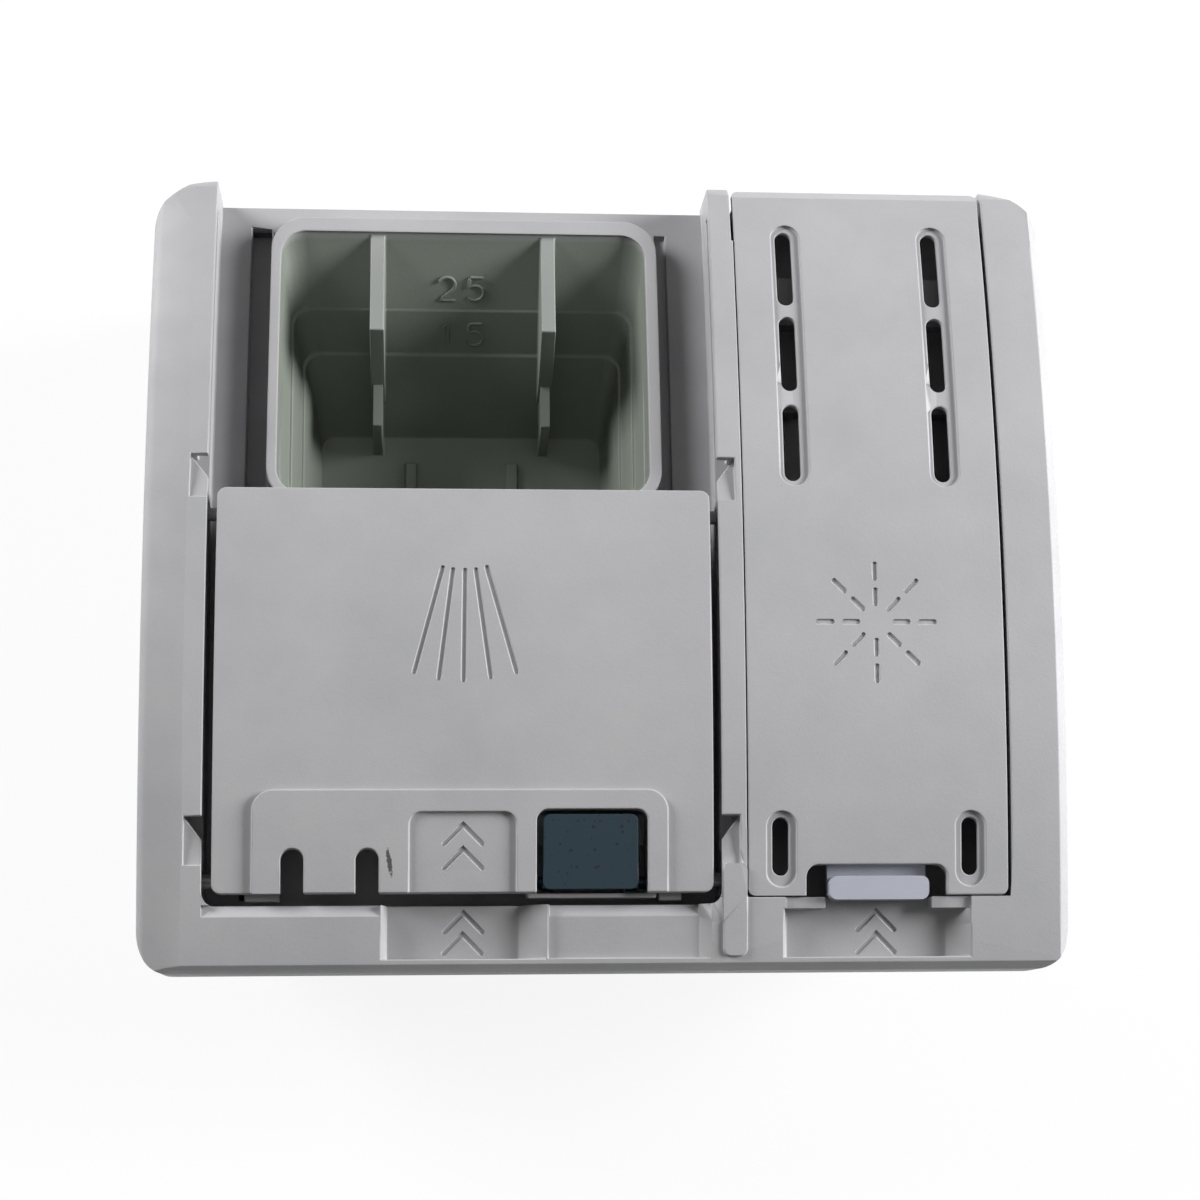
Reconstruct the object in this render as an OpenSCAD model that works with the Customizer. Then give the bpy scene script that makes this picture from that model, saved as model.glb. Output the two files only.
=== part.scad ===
// Detergent and rinse-aid dispenser for a dishwasher door, lying on its back.
// X runs across, Y up the door, Z out of the face. Millimetres.

/* [Face] */
// Overall width of the bezel
body_w = 150; // [146:1:156]
// Overall height of the bezel along the door
body_l = 132.4; // [130:0.2:136]
// Radius of the curved front face
face_r = 325.5; // [300:0.5:360]
// Height of the face above the rear plane at mid-length
peak_z = 48.4; // [48:0.1:50]
// Height of the plane that sits on the door
seat_z = 30; // [29.5:0.1:30.5]
// Width of the rounding at the upper corners
corner_top = 11; // [10:0.5:11.5]
// Width of the rounding at the lower corners
corner_low = 5; // [4.5:0.5:6]
// General wall thickness
wall = 2; // [1.8:0.1:2.2]

/* [Detergent side] */
// Left edge of the tray
tray_x0 = -64.6; // [-65:0.1:-64.2]
// Right edge of the tray
tray_x1 = 18.2; // [18:0.1:18.4]
// Upper edge of the bottom band
band_y = -55.7; // [-56:0.1:-55.5]
// Upper end of the tray
tray_y1 = 64.4; // [64:0.1:64.8]
// Depth of the tray below the face
tray_d = 9; // [8.8:0.1:9.2]
// Depth of the cup's rim below the face
rim_d = 5; // [4.8:0.1:5.2]
// Depth of the guide tracks in the rails
track_depth = 2; // [1.9:0.1:2]

/* [Cover] */
// Left edge of the sliding cover
cover_x0 = -63; // [-63.2:0.1:-62.8]
// Right edge of the sliding cover
cover_x1 = 16.8; // [16.6:0.1:17]
// Lower edge of the cover when open
cover_y0 = -53.9; // [-54:0.1:-53.8]
// Upper edge of the cover when open
cover_y1 = 11.2; // [11:0.1:11.4]
// Travel of the cover along the face
travel = 50.4; // [50:0.1:50.6]
// Radius of the cover's guide pins
guide_r = 1.1; // [1:0.05:1.15]

/* [Rinse lid] */
// Left edge of the lid
lid_x0 = 22.4; // [22.3:0.1:22.5]
// Right edge of the lid
lid_x1 = 64.7; // [64.6:0.1:64.8]
// Lower end of the lid
lid_y0 = -54.5; // [-54.6:0.1:-54.4]
// Upper end of the lid
lid_y1 = 65.8; // [65.6:0.1:65.9]
// Place of the lid's hinge along the body
lid_axis_y = 60.5; // [60.3:0.1:60.7]
// Height of the lid's hinge
lid_axis_z = 36.4; // [36.3:0.1:36.5]
// Radius of the lid's trunnions
lid_pin_r = 1.4; // [1.3:0.05:1.5]
// Middle of the lid and of what lies under it
bay_x = 43.5; // [43.4:0.1:43.6]

/* [Mechanism] */
// Middle of the solenoid across the body
coil_x = -3; // [-3.2:0.1:-2.8]
// Height of the solenoid's axis
coil_z = 15; // [14.8:0.1:15.2]
// Place of the release lever's shaft along the body
lever_y = 3.6; // [3.5:0.1:3.7]
// Height of the release lever's shaft
lever_z = 26; // [25.8:0.1:26.2]
// Radius of the lever's shaft
shaft_r = 2; // [1.9:0.05:2.1]
// Running clearance round shafts and pins
run_fit = 0.06; // [0.04:0.01:0.1]

/* [Hidden] */
$fn = 48;
arc_fn = 360;
grey = "#B3B3B8";
light_grey = "#C4C4CC";
dark_grey = "#4A5564";
black = "#2B2B2D";
steel = "#9AA0A6";
brass = "#C9A85C";
arc_z = peak_z - face_r;
edge_x = body_w / 2;
edge_y = body_l / 2;
// Heights of the corners' rounding
corner_top_h = 8.5;
corner_low_h = 6.8;
// Wall that passes through the door
neck_x = 64.4;
neck_y0 = -56.2;
neck_y1 = 58.6;
joint_z = 22;
part_x = 20.4;
// Door seal land
seal_out = 68.4;
seal_y0 = -59.8;
seal_y1 = 62.6;
seal_w = 2.6;
seal_d = 0.8;
pocket_in = 68.6;
pocket_out = edge_x - 2.2;
bolt_x = 70.9;
bolt_y = 52;
bolt_r = 1.25;
// Cup outline at the rim and at its steps: left, right, lower and upper edge, height
rim_out = [-55.65, 9.6, 10, 61.2];
rim_in = [-54, 7.6, 11.7, 58.5];
rim_low_z = 37.4;
step25 = [-52.65, 6.25, 12.4, 47.7, 29.9];
step15 = [-50.85, 4.45, 13.3, 41.3, 24.4];
cup_floor = [-47.8, 1.4, 15, 28.8, 14.1];
step_w = 0.5;
cup_wall = 1.8;
fin_xs = [-37.8, -8.9];
fin_t = 2.4;
// Ribs on the cup's floor
rib_xs = [-32.1, -14.3];
rib_w = 2;
rib_y = 24;
// Spring channel with the spring's anchor, and hook slot
channel_x = -57.6;
channel_w = 3.4;
channel_d = 12.4;
anchor_r = 1;
anchor_y = -52;
anchor_d = 10.6;
slot_x0 = -9;
slot_x1 = 3;
slot_y1 = 8.4;
slot_d = 14.5;
recess_d = 3.2;
recess_y0 = -64.2;
left_recess = [-35.5, -14.3];
left_lean = 4.5;
right_recess = [28.9, 55.1];
right_lean = 3.6;
// Ledges between the right recess and the lid, and the way between them
ledge_y = -56.5;
ledge_d = 0.6;
way_x0 = 35;
way_x1 = 52.1;
// Lower pad beside the left recess and the rib that ends the middle rail
pad_x0 = -9.8;
pad_x1 = 14.5;
pad_d = 0.9;
rib_x0 = 18.4;
rib_x1 = 22.2;
mid_rib_y1 = -49.3;
mid_rib_lift = 0.5;
// Rounded lower edge of the bezel, chamfer of the band's upper edge, bevel of upper ends
lip_w = 1.2;
lip_h = 1.5;
chamfer_l = 1.8;
chamfer_d = 1.2;
bevel_l = 1.6;
bevel_d = 1.2;
// Domes of the tank in the lid's bay, seen through the lid's slots
dome_x0 = 24.6;
dome_x1 = 62.6;
dome_w = 11.4;
dome_ys = [28, 42.5, 51];
dome_zs = [35.5, 39];
pin_y_low = -51.7;
pin_y_high = 7.3;
pin_d = 3.2;
track_top = 2;
track_low = 4.4;
// Arm of the cover that the spring pulls
spring_d = 9.4;
lug_y = -20;
// Notches over the tracks: width, depths at both ends, length of the opening to the track
notch_w = 2.9;
notch_low = 0.4;
notch_high = 1.3;
notch_open = 3.7;
notch_ys = [[-49.4, -41.7], [9.6, 16.8]];
// Lid bay, open at its upper end above a low wall
bay_x0 = lid_x0 - 0.5;
bay_x1 = lid_x1 + 0.6;
bay_z = seat_z + wall;
bay_end_z = 31.8;
plate_y1 = 63.4;
end_wall_z = 38.2;
neck_hole_y = -24;
neck_hole_r = 11;
neck_top = 38.5;
dial_y = 6;
glass_y = 27;
valve_x = 27.5;
valve_y = lever_y + 9;
lid_t = 2;
ear_r = 2.2;
lid_slot_xs = [30.8, 55.8];
slot_w = 2.8;
dish_w = 4.9;
dish_d = 0.6;
lid_slot_ys = [[13.1, 26.2], [28.7, 42], [44.2, 57.7]];
// Latch: its tab, its nose and its place on the face
latch_x0 = 35.5;
latch_x1 = 51.6;
plate_x0 = 32.4;
plate_x1 = 54;
nose_x0 = 38;
nose_x1 = 49;
latch_y = -50;
latch_tilt = asin(-latch_y / face_r);
// Level float on its rod, with its magnet
float_x = 30;
float_z = 14;
float_rod_r = 1.4;
float_r = 6;
float_y0 = -50;
float_y1 = -38;
magnet_y = -44;
magnet_r = 2;
// Button, its opening in the cover and its pivot
button_x0 = -10.6;
button_x1 = 4.7;
pivot_y = -52.2;
pivot_d = 3.4;
pivot_r = 1;
hole_x0 = -11.6;
hole_x1 = 6.2;
cheek = 1.6;
cheek_d = 7.2;
shelf_y0 = -46;
shelf_y1 = -41;
// Solenoid: frame, bobbin, winding, blades
frame_w = 22;
frame_t = 1.5;
frame_y0 = -44;
frame_y1 = -14;
frame_z0 = 4;
core_r = 4;
tube_r = 5.2;
flange_r = 9.2;
flange_t = 1.3;
wind_y0 = -41.2;
wind_y1 = -16.8;
blade_w = 4.8;
blade_y = -47;
blade_z = 20.2;
// Plunger's collar, rod and discs
collar_y = -9;
rod_r = 1.5;
disc_r = 3.4;
disc_t = 1.2;
disc_ys = [0.6, 5.4];
// Arm on the shaft's end, valve stem and its seal, dial and sight glass
arm_x0 = 25.6;
arm_x1 = 29.4;
stem_r = 1.2;
seal_z = 28.6;
dial_r = 9.5;
stub_r = 3;
glass_r = 7;
// Screw posts of the rear cover
post_ys = [-50, 52];
post_xs = [-59.2, 15.6];
post_z = 12;
post_r = 3.2;
screw_r = 1.4;

// Height of the face at y, lowered by d
function face_z(y, d = 0) = sqrt(pow(face_r - d, 2) - y * y) + arc_z;

// Rectangle given by its edges
module rect(x0, x1, y0, y1) translate([x0, y0]) square([x1 - x0, y1 - y0]);

// Rectangle with all four corners rounded to r
module round_rect(x0, x1, y0, y1, r) {
    rect(x0 + r, x1 - r, y0, y1);
    rect(x0, x1, y0 + r, y1 - r);
    for (x = [x0 + r, x1 - r], y = [y0 + r, y1 - r]) translate([x, y]) circle(r);
}

// Box given by its edges
module box(x0, x1, y0, y1, z0, z1) translate([x0, y0, z0]) cube([x1 - x0, y1 - y0, z1 - z0]);

// Everything below the face lowered by d
module under(d) translate([-90, 0, arc_z]) rotate([0, 90, 0])
    cylinder(r = face_r - d, h = 180, $fn = arc_fn);

// Plan shape between two depths below the face
module layer(d0, d1) difference() {
    intersection() {
        linear_extrude(60) children();
        under(d0);
    }
    under(d1);
}

// Plan shape cut from depth d upward, out through the face
module cut_above(d) difference() {
    linear_extrude(60) children();
    under(d);
}

// Plan shape cut from depth d downward
module cut_below(d) intersection() {
    translate([0, 0, -1]) linear_extrude(61) children();
    under(d);
}

// Moves a shape s millimetres along the face
module along(s) translate([0, 0, arc_z]) rotate([-s / face_r * 180 / PI, 0, 0])
    translate([0, 0, -arc_z]) children();

// Cylinder along X between two places
module rod_x(r, x0, x1, y, z) translate([x0, y, z]) rotate([0, 90, 0]) cylinder(r = r, h = x1 - x0);

// Cylinder along Y between two places
module rod_y(r, y0, y1, x, z) translate([x, y0, z]) rotate([-90, 0, 0]) cylinder(r = r, h = y1 - y0);

// YZ outline with a width along X
module slab_x(x0, x1, pts) translate([x0, 0, 0]) rotate([90, 0, 90]) linear_extrude(x1 - x0)
    polygon(pts);

// Thin rounded plate, one station of a cup's loft
module station(e, z, r) translate([0, 0, z]) linear_extrude(0.01, convexity = 2)
    round_rect(e[0], e[1], e[2], e[3], r, $fn = 32);

function grow(e, t) = [e[0] - t, e[1] + t, e[2] - t, e[3] + t];

// Bezel outline seen from the front
module bezel_outline() {
    rect(-edge_x + corner_top, edge_x - corner_top, 0, edge_y);
    rect(-edge_x, edge_x, -edge_y + corner_low_h, edge_y - corner_top_h);
    rect(-edge_x + corner_low, edge_x - corner_low, -edge_y, 0);
    for (s = [-1, 1]) {
        translate([s * (edge_x - corner_top), edge_y - corner_top_h])
            resize([2 * corner_top, 2 * corner_top_h]) circle(corner_top);
        translate([s * (edge_x - corner_low), -edge_y + corner_low_h])
            resize([2 * corner_low, 2 * corner_low_h]) circle(corner_low);
    }
}

// Section across the face, turned about the face's axis: rails with their sloping outer sides
module face_section() rotate([0, 90, 0]) rotate_extrude($fn = arc_fn) polygon([
    [face_r - 30, -edge_x - 1], [face_r - 3.4, -edge_x - 1], [face_r - 2.6, -edge_x],
    [face_r - 1.2, -73.4], [face_r, -67.8], [face_r, 73.3], [face_r - 1.7, edge_x],
    [face_r - 2.3, edge_x + 1], [face_r - 30, edge_x + 1]]);

module bezel_block() intersection() {
    translate([0, 0, seat_z]) linear_extrude(30) difference() {
        bezel_outline();
        rect(tray_x0, tray_x1, tray_y1, edge_y + 1);
        rect(bay_x0, bay_x1, plate_y1, edge_y + 1);
    }
    translate([0, 0, arc_z]) face_section();
}

// Hollows open to the rear: behind the rails, the bands and the tray
module rear_pockets() {
    cut_below(2.8) for (s = [-1, 1])
        rect(s > 0 ? pocket_in : -pocket_out, s > 0 ? pocket_out : -pocket_in,
            -edge_y + 6, edge_y - 8);
    cut_below(5.6) rect(-66, 66, -edge_y + 2.2, -60.6);
    cut_below(tray_d + wall) {
        rect(-neck_x + wall, part_x - 2, neck_y0 + wall, neck_y1 - wall);
    }
}

// Rectangular wall that passes through the door, with the partition between both sides
module neck_wall() translate([0, 0, joint_z]) linear_extrude(seat_z - joint_z + 0.5) {
    difference() {
        rect(-neck_x, neck_x, neck_y0, neck_y1);
        rect(-neck_x + wall, part_x, neck_y0 + wall, neck_y1 - wall);
        rect(part_x + wall, neck_x - wall, neck_y0 + wall, neck_y1 - wall);
    }
}

module cup_shell() hull() {
    station([rim_out[0] + 0.4, rim_out[1] - 0.2, rim_out[2] + 0.2, 58.2], 35.5, 5.4);
    station(grow(step25, cup_wall), 28, 4.6);
    station(grow(cup_floor, cup_wall), cup_floor[4] - cup_wall, 4);
}

module cup_space() {
    translate([0, 0, rim_low_z - 0.01]) linear_extrude(20)
        round_rect(rim_in[0], rim_in[1], rim_in[2], rim_in[3], 4.2);
    hull() {
        station(rim_in, rim_low_z, 4.2);
        station(step25, step25[4], 3.4);
    }
    hull() {
        station(grow(step25, -step_w), step25[4], 3.2);
        station(step15, step15[4], 3);
    }
    hull() {
        station(grow(step15, -step_w), step15[4], 2.8);
        station(cup_floor, cup_floor[4], 2.4);
    }
}

// Fins that part the cup, each with a lower and thinner foot
module cup_fins() for (x = fin_xs) {
    slab_x(x - fin_t / 2, x + fin_t / 2, [[59.4, 36.6], [58.5, 37.2], [40.6, face_z(40.6, 6)],
        [34.8, 26.5], [33.8, 19.5], [35.5, 19.5], [44, 25.5], [52, 31.2]]);
    slab_x(x - fin_t / 3, x + fin_t / 3, [[36, 26.6], [27.5, 26.7], [25.5, 13.4], [30.5, 13.4],
        [38, 20.5]]);
}

module cup_ribs() for (x = rib_xs)
    box(x - rib_w / 2, x + rib_w / 2, cup_floor[2] - 0.5, rib_y, cup_floor[4] - 0.7, cup_floor[4] + 1);

// Channel for the cover's spring and slot for the hook, seen from behind as troughs
module trough_shells() {
    layer(tray_d + 1, channel_d + 1.5)
        rect(channel_x - channel_w / 2 - 1.5, channel_x + channel_w / 2 + 1.5, -55, 62);
    layer(tray_d + 1, slot_d + 1.8) rect(slot_x0 - 1.8, slot_x1 + 1.8, -55, slot_y1 + 1.5);
}

module trough_spaces() {
    difference() {
        cut_above(channel_d)
            rect(channel_x - channel_w / 2, channel_x + channel_w / 2, -54.2, 60.5);
        rod_x(anchor_r, channel_x - 3, channel_x + 3, anchor_y, face_z(anchor_y, anchor_d));
    }
    cut_above(slot_d) rect(slot_x0, slot_x1, -54, slot_y1);
    // Window for the lever's claw
    cut_below(slot_d - 1) rect(-6, 0, 2.6, slot_y1);
}

// Tracks for the guide pins, with the notches where the pins enter
module tracks() {
    for (side = [-1, 1]) {
        x0 = side < 0 ? tray_x0 - track_depth : tray_x1 - 1;
        x1 = side < 0 ? tray_x0 + 1 : tray_x1 + track_depth;
        layer(track_top, track_low) rect(x0, x1, -54.2, 61);
        for (n = notch_ys) notch(side, n[0], n[1]);
    }
}

// Ramp down the rail's edge, with a corner open to the track where a guide pin snaps in
module notch(side, y0, y1) {
    edge = side < 0 ? tray_x0 : tray_x1;
    out = edge + side * notch_w;
    slab_x(min(edge - side, out), max(edge - side, out),
        [[y0, face_z(y0, notch_low)], [y1, face_z(y1, notch_high)], [y1, 60], [y0, 60]]);
    cut_above(track_low) polygon([[out, y1], [edge - side, y1],
        [edge - side, y1 - notch_open * (notch_w + 1) / notch_w]]);
}

// Ring about the face's axis, from points given as depth and X
module face_ring(pts) translate([0, 0, arc_z]) rotate([0, 90, 0]) rotate_extrude($fn = arc_fn)
    polygon([for (p = pts) [face_r - p[0], p[1]]]);

// Finger recess in the bottom band: steep left wall, slanting right wall
module finger_recess(xs, lean, y1) intersection() {
    linear_extrude(60) rect(xs[0] - 2, xs[1] + lean + 1, recess_y0, y1);
    face_ring([[-1, xs[0] - 1], [recess_d, xs[0]], [recess_d, xs[1]], [-1, xs[1] + lean * 1.3]]);
}

module recesses() {
    finger_recess(left_recess, left_lean, band_y + 1);
    finger_recess(right_recess, right_lean, ledge_y);
    // Between the ledges the right recess runs on under the latch
    cut_above(recess_d) rect(way_x0, way_x1, ledge_y - 0.5, lid_y0 + 0.5);
    cut_above(ledge_d) rect(right_recess[0] - 0.4, right_recess[1] + right_lean, ledge_y - 0.1,
        lid_y0 + 0.5);
    // Lower pad between the left recess and the middle rib
    intersection() {
        linear_extrude(60) rect(pad_x0 - 2, rib_x0 + 0.4, recess_y0, lid_y0 + 0.5);
        face_ring([[-1, pad_x0], [pad_d, pad_x0], [pad_d, pad_x1], [-1, rib_x0 + 0.4]]);
    }
    // Chamfers on the upper edge of the band, and the rounded lower edge of the bezel
    band_chamfer(tray_x0, left_recess[0] - 0.9, 0);
    band_chamfer(pad_x0 + 0.3, pad_x1, pad_d);
    slab_x(-80, 80, [[-edge_y - 1, face_z(-edge_y, lip_h + 1)], [-edge_y, face_z(-edge_y, lip_h)],
        [-edge_y + lip_w, face_z(-edge_y + lip_w) + 0.01], [-edge_y + lip_w, 46],
        [-edge_y - 1, 46]]);
    end_bevel(-80, 80, edge_y);
    // Space behind the ledge where the lid's latch hooks in
    layer(recess_d + 2, 8.8) rect(nose_x0 - 1, nose_x1 + 1, -57.8, -54);
}

module band_chamfer(x0, x1, d) slab_x(x0, x1, [[band_y - chamfer_l, face_z(band_y - chamfer_l, d)
    + 0.01], [band_y + 0.1, face_z(band_y, d + chamfer_d)], [band_y + 0.1, 46]]);

// Cut for the bevel of an upper end at y
module end_bevel(x0, x1, y) slab_x(x0, x1, [[y - bevel_l, face_z(y - bevel_l) + 0.01],
    [y, face_z(y, bevel_d)], [y + 1, face_z(y, bevel_d + 1)], [y + 1, 46], [y - bevel_l, 46]]);

// Rib that ends the middle rail, a little proud of the face
module middle_rib() layer(-mid_rib_lift, 2)
    round_rect(rib_x0, rib_x1, recess_y0 + 0.2, mid_rib_y1, 1.2);

// Domes of the rinse tank that stand in the lid's bay, less t all round
module tank_domes(t) {
    for (x = [dome_x0, dome_x1 - dome_w])
        box(x + t, x + dome_w - t, dome_ys[0] + t, dome_ys[1] + 1 - t, seat_z - 1, dome_zs[0] - t);
    box(dome_x0 + t, dome_x1 - t, dome_ys[1] + t, dome_ys[2] - t, seat_z - 1, dome_zs[1] - t);
}

// Posts for the rear cover's screws
module cover_posts() intersection() {
    for (x = post_xs, y = post_ys) translate([x, y, post_z]) cylinder(r = post_r, h = 30);
    under(tray_d + 1);
}

module front_housing() color(grey) difference() {
    union() {
        difference() {
            bezel_block();
            rear_pockets();
        }
        neck_wall();
        cup_shell();
        trough_shells();
        cover_posts();
        for (x = [-bolt_x, bolt_x], y = [-bolt_y, bolt_y])
            translate([x, y, seat_z]) cylinder(r = 3.1, h = 11);
        middle_rib();
        // Bearing for the lever's shaft beside the hook slot
        box(-12.4, -10.4, -0.2, 7.4, 23, 34);
        translate([bay_x, neck_hole_y, seat_z]) cylinder(r = neck_hole_r + wall,
            h = neck_top - seat_z);
        // Boss round the shaft in the partition
        rod_x(3.9, part_x, part_x + wall, lever_y, lever_z);
    }
    // Tray, leaving the cup's rim standing
    cut_above(tray_d) difference() {
        union() {
            rect(tray_x0, tray_x1, band_y + 3, tray_y1 + 2);
            round_rect(tray_x0, tray_x1, band_y, band_y + 8, 2);
        }
        round_rect(rim_out[0], rim_out[1], rim_out[2], rim_out[3], 5.8);
    }
    cut_above(rim_d) round_rect(rim_out[0], rim_out[1], rim_out[2], rim_out[3], 5.8);
    // Groove beside the rim
    cut_above(tray_d + 1) rect(rim_out[1] + 0.1, rim_out[1] + 2, 12, 60);
    difference() {
        cup_space();
        cup_fins();
        cup_ribs();
    }
    trough_spaces();
    tracks();
    recesses();
    // Lid bay down to its floor
    difference() {
        box(lid_x0 - 0.2, bay_x1, lid_y0 - 0.2, 58, bay_z, 60);
        translate([bay_x, neck_hole_y, 0]) cylinder(r = neck_hole_r + wall, h = neck_top);
        tank_domes(0);
    }
    tank_domes(wall);
    difference() {
        box(bay_x0, bay_x1, 56, edge_y + 1, bay_end_z, 60);
        box(lid_x0 + 2.6, lid_x1 - 2.6, plate_y1 - 1.2, plate_y1, bay_end_z, end_wall_z);
    }
    for (s = [0, 1]) rod_x(lid_pin_r + run_fit, s > 0 ? 65.2 : 20.5, s > 0 ? 67.2 : 22,
        lid_axis_y, lid_axis_z);
    // Through the bay floor: filler, dial, sight glass and valve
    translate([bay_x, neck_hole_y, 0]) cylinder(r = neck_hole_r, h = 60);
    translate([bay_x, dial_y, 0]) cylinder(r = stub_r + run_fit, h = 60);
    translate([bay_x, glass_y, 0]) cylinder(r = glass_r, h = 60);
    translate([valve_x, valve_y, 0]) cylinder(r = stem_r + 0.5, h = 60);
    rod_x(shaft_r + run_fit, -13, part_x + 3, lever_y, lever_z);
    // Groove for the door seal
    translate([0, 0, seat_z - 1]) linear_extrude(1 + seal_d) seal_ring(0.1);
    for (x = [-bolt_x, bolt_x], y = [-bolt_y, bolt_y])
        translate([x, y, seat_z - 1]) cylinder(r = bolt_r, h = 10);
    for (x = post_xs, y = post_ys) translate([x, y, post_z - 1]) cylinder(r = screw_r, h = 10);
}

module seal_ring(gap) difference() {
    round_rect(-seal_out - gap, seal_out + gap, seal_y0 - gap, seal_y1 + gap, 3);
    round_rect(-seal_out + seal_w + gap, seal_out - seal_w - gap, seal_y0 + seal_w + gap,
        seal_y1 - seal_w - gap, 0.6);
}

module door_gasket() color(black) translate([0, 0, seat_z]) linear_extrude(seal_d) seal_ring(0);

// Rear shell of the tank, with the rod that guides the float
module rinse_tank() color(light_grey) {
    difference() {
        box(part_x, neck_x, neck_y0, neck_y1, 0, joint_z);
        box(part_x + wall, neck_x - wall, neck_y0 + wall, neck_y1 - wall, wall, joint_z + 1);
    }
    rod_y(float_rod_r, neck_y0 + 1, -27, float_x, float_z);
}

module screw_seat() difference() {
    cylinder(r = 4.4, h = post_z);
    translate([0, 0, -1]) cylinder(r = 1.7, h = post_z + 2);
    translate([0, 0, -1]) cylinder(r = 3.4, h = 4.2);
}

module rear_cover() color(grey) {
    difference() {
        box(-neck_x, part_x - 0.2, neck_y0, neck_y1, 0, joint_z);
        box(-neck_x + wall, part_x, neck_y0 + wall, neck_y1 - wall, wall, joint_z + 1);
        for (x = post_xs, y = post_ys) translate([x, y, -1]) cylinder(r = 4, h = wall + 2);
        // Opening for the connector
        box(coil_x - 9, coil_x + 9, -53, -43.5, -1, wall + 1);
    }
    for (x = post_xs, y = post_ys) translate([x, y, 0]) screw_seat();
    for (x = [coil_x - 8, coil_x + 6]) box(x, x + 2, -44, -14, 1, 4);
}

module housing_screws() color(steel) for (x = post_xs, y = post_ys) translate([x, y, 0]) {
    translate([0, 0, 1]) cylinder(r = 2.9, h = 2.2);
    translate([0, 0, 2]) cylinder(r = screw_r, h = 17);
}

module sight_glass() color("#C8D4DC") translate([bay_x, glass_y, 0]) {
    translate([0, 0, seat_z]) cylinder(r = glass_r - 0.05, h = 2.8);
    translate([0, 0, seat_z - 1.2]) cylinder(r = glass_r + 1.4, h = 1.2);
}

// Bent steel frame with the fixed core
module solenoid_frame() color(steel) {
    x0 = coil_x - frame_w / 2;
    x1 = coil_x + frame_w / 2;
    box(x0, x1, frame_y0, frame_y1, frame_z0, frame_z0 + frame_t);
    box(x0, x1, frame_y0, frame_y0 + frame_t, frame_z0, 20);
    difference() {
        box(x0, x1, frame_y1 - frame_t, frame_y1, frame_z0, 25.5);
        rod_y(core_r + 0.4, frame_y1 - frame_t - 1, frame_y1 + 1, coil_x, coil_z);
    }
    rod_y(core_r, frame_y0, -39.2, coil_x, coil_z);
}

module solenoid_bobbin() color(black) {
    difference() {
        union() {
            rod_y(tube_r, wind_y0 - flange_t, wind_y1 + flange_t, coil_x, coil_z);
            rod_y(flange_r, wind_y0 - flange_t, wind_y0, coil_x, coil_z);
            rod_y(flange_r, wind_y1, wind_y1 + flange_t, coil_x, coil_z);
            // Block that carries the blades, over the frame's rear plate
            box(coil_x - 8, coil_x + 8, blade_y - 1.5, wind_y0, blade_z, blade_z + 3.8);
        }
        rod_y(core_r + run_fit, wind_y0 - 2, wind_y1 + 2, coil_x, coil_z);
    }
}

module solenoid_coil() color("#A8642E") difference() {
    rod_y(flange_r - 0.3, wind_y0, wind_y1, coil_x, coil_z);
    rod_y(tube_r, wind_y0 - 1, wind_y1 + 1, coil_x, coil_z);
}

module coil_terminals() color(brass) for (x = [coil_x - 4.5, coil_x + 4.5])
    box(x - blade_w / 2, x + blade_w / 2, blade_y, blade_y + 0.8, 1, blade_z);

// Corrugated outline of a coil spring along Z: mean radius, wire radius, length, turns
module spring(r, w, len, turns) rotate_extrude() polygon(concat(
    [for (i = [0:turns - 1]) each [[r - w * 0.4, i * len / turns], [r + w, (i + 0.5) * len / turns]]],
    [[r - w * 0.4, len], [r - w * 1.4, len]],
    [for (i = [turns - 1:-1:0]) each [[r, (i + 0.5) * len / turns], [r - w * 1.4, i * len / turns]]]));

module plunger_spring() color(steel) translate([coil_x, collar_y, coil_z]) rotate([90, 0, 0])
    spring(4.9, 0.4, collar_y - frame_y1, 4);

module reed_switch() color(black) box(16.4, part_x, -44.5, -31, float_z - 2.5, float_z + 2.5);

module cover_spring() color(steel) {
    z0 = face_z(anchor_y, anchor_d);
    z1 = face_z(lug_y, spring_d);
    reach = lug_y - anchor_y;
    translate([channel_x, anchor_y, z0]) rotate([atan2(z1 - z0, reach) - 90, 0, 0])
        translate([0, 0, 1.2]) spring(1.1, 0.35, norm([reach, z1 - z0]) - 3.2, 14);
}

module shaft_seal() color(black) difference() {
    rod_x(3.8, part_x - 1.8, part_x, lever_y, lever_z);
    rod_x(shaft_r + run_fit, part_x - 2, part_x + 1, lever_y, lever_z);
}

// Button cut-out in the cover, open at its lower end
module button_hole() round_rect(hole_x0, hole_x1, -60, -40.8, 1.8);

module raised_panel() intersection() {
    round_rect(-56.7, 9.4, -70, -37.7, 3.3);
    rect(-57, 10, cover_y0, -37);
}

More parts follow.
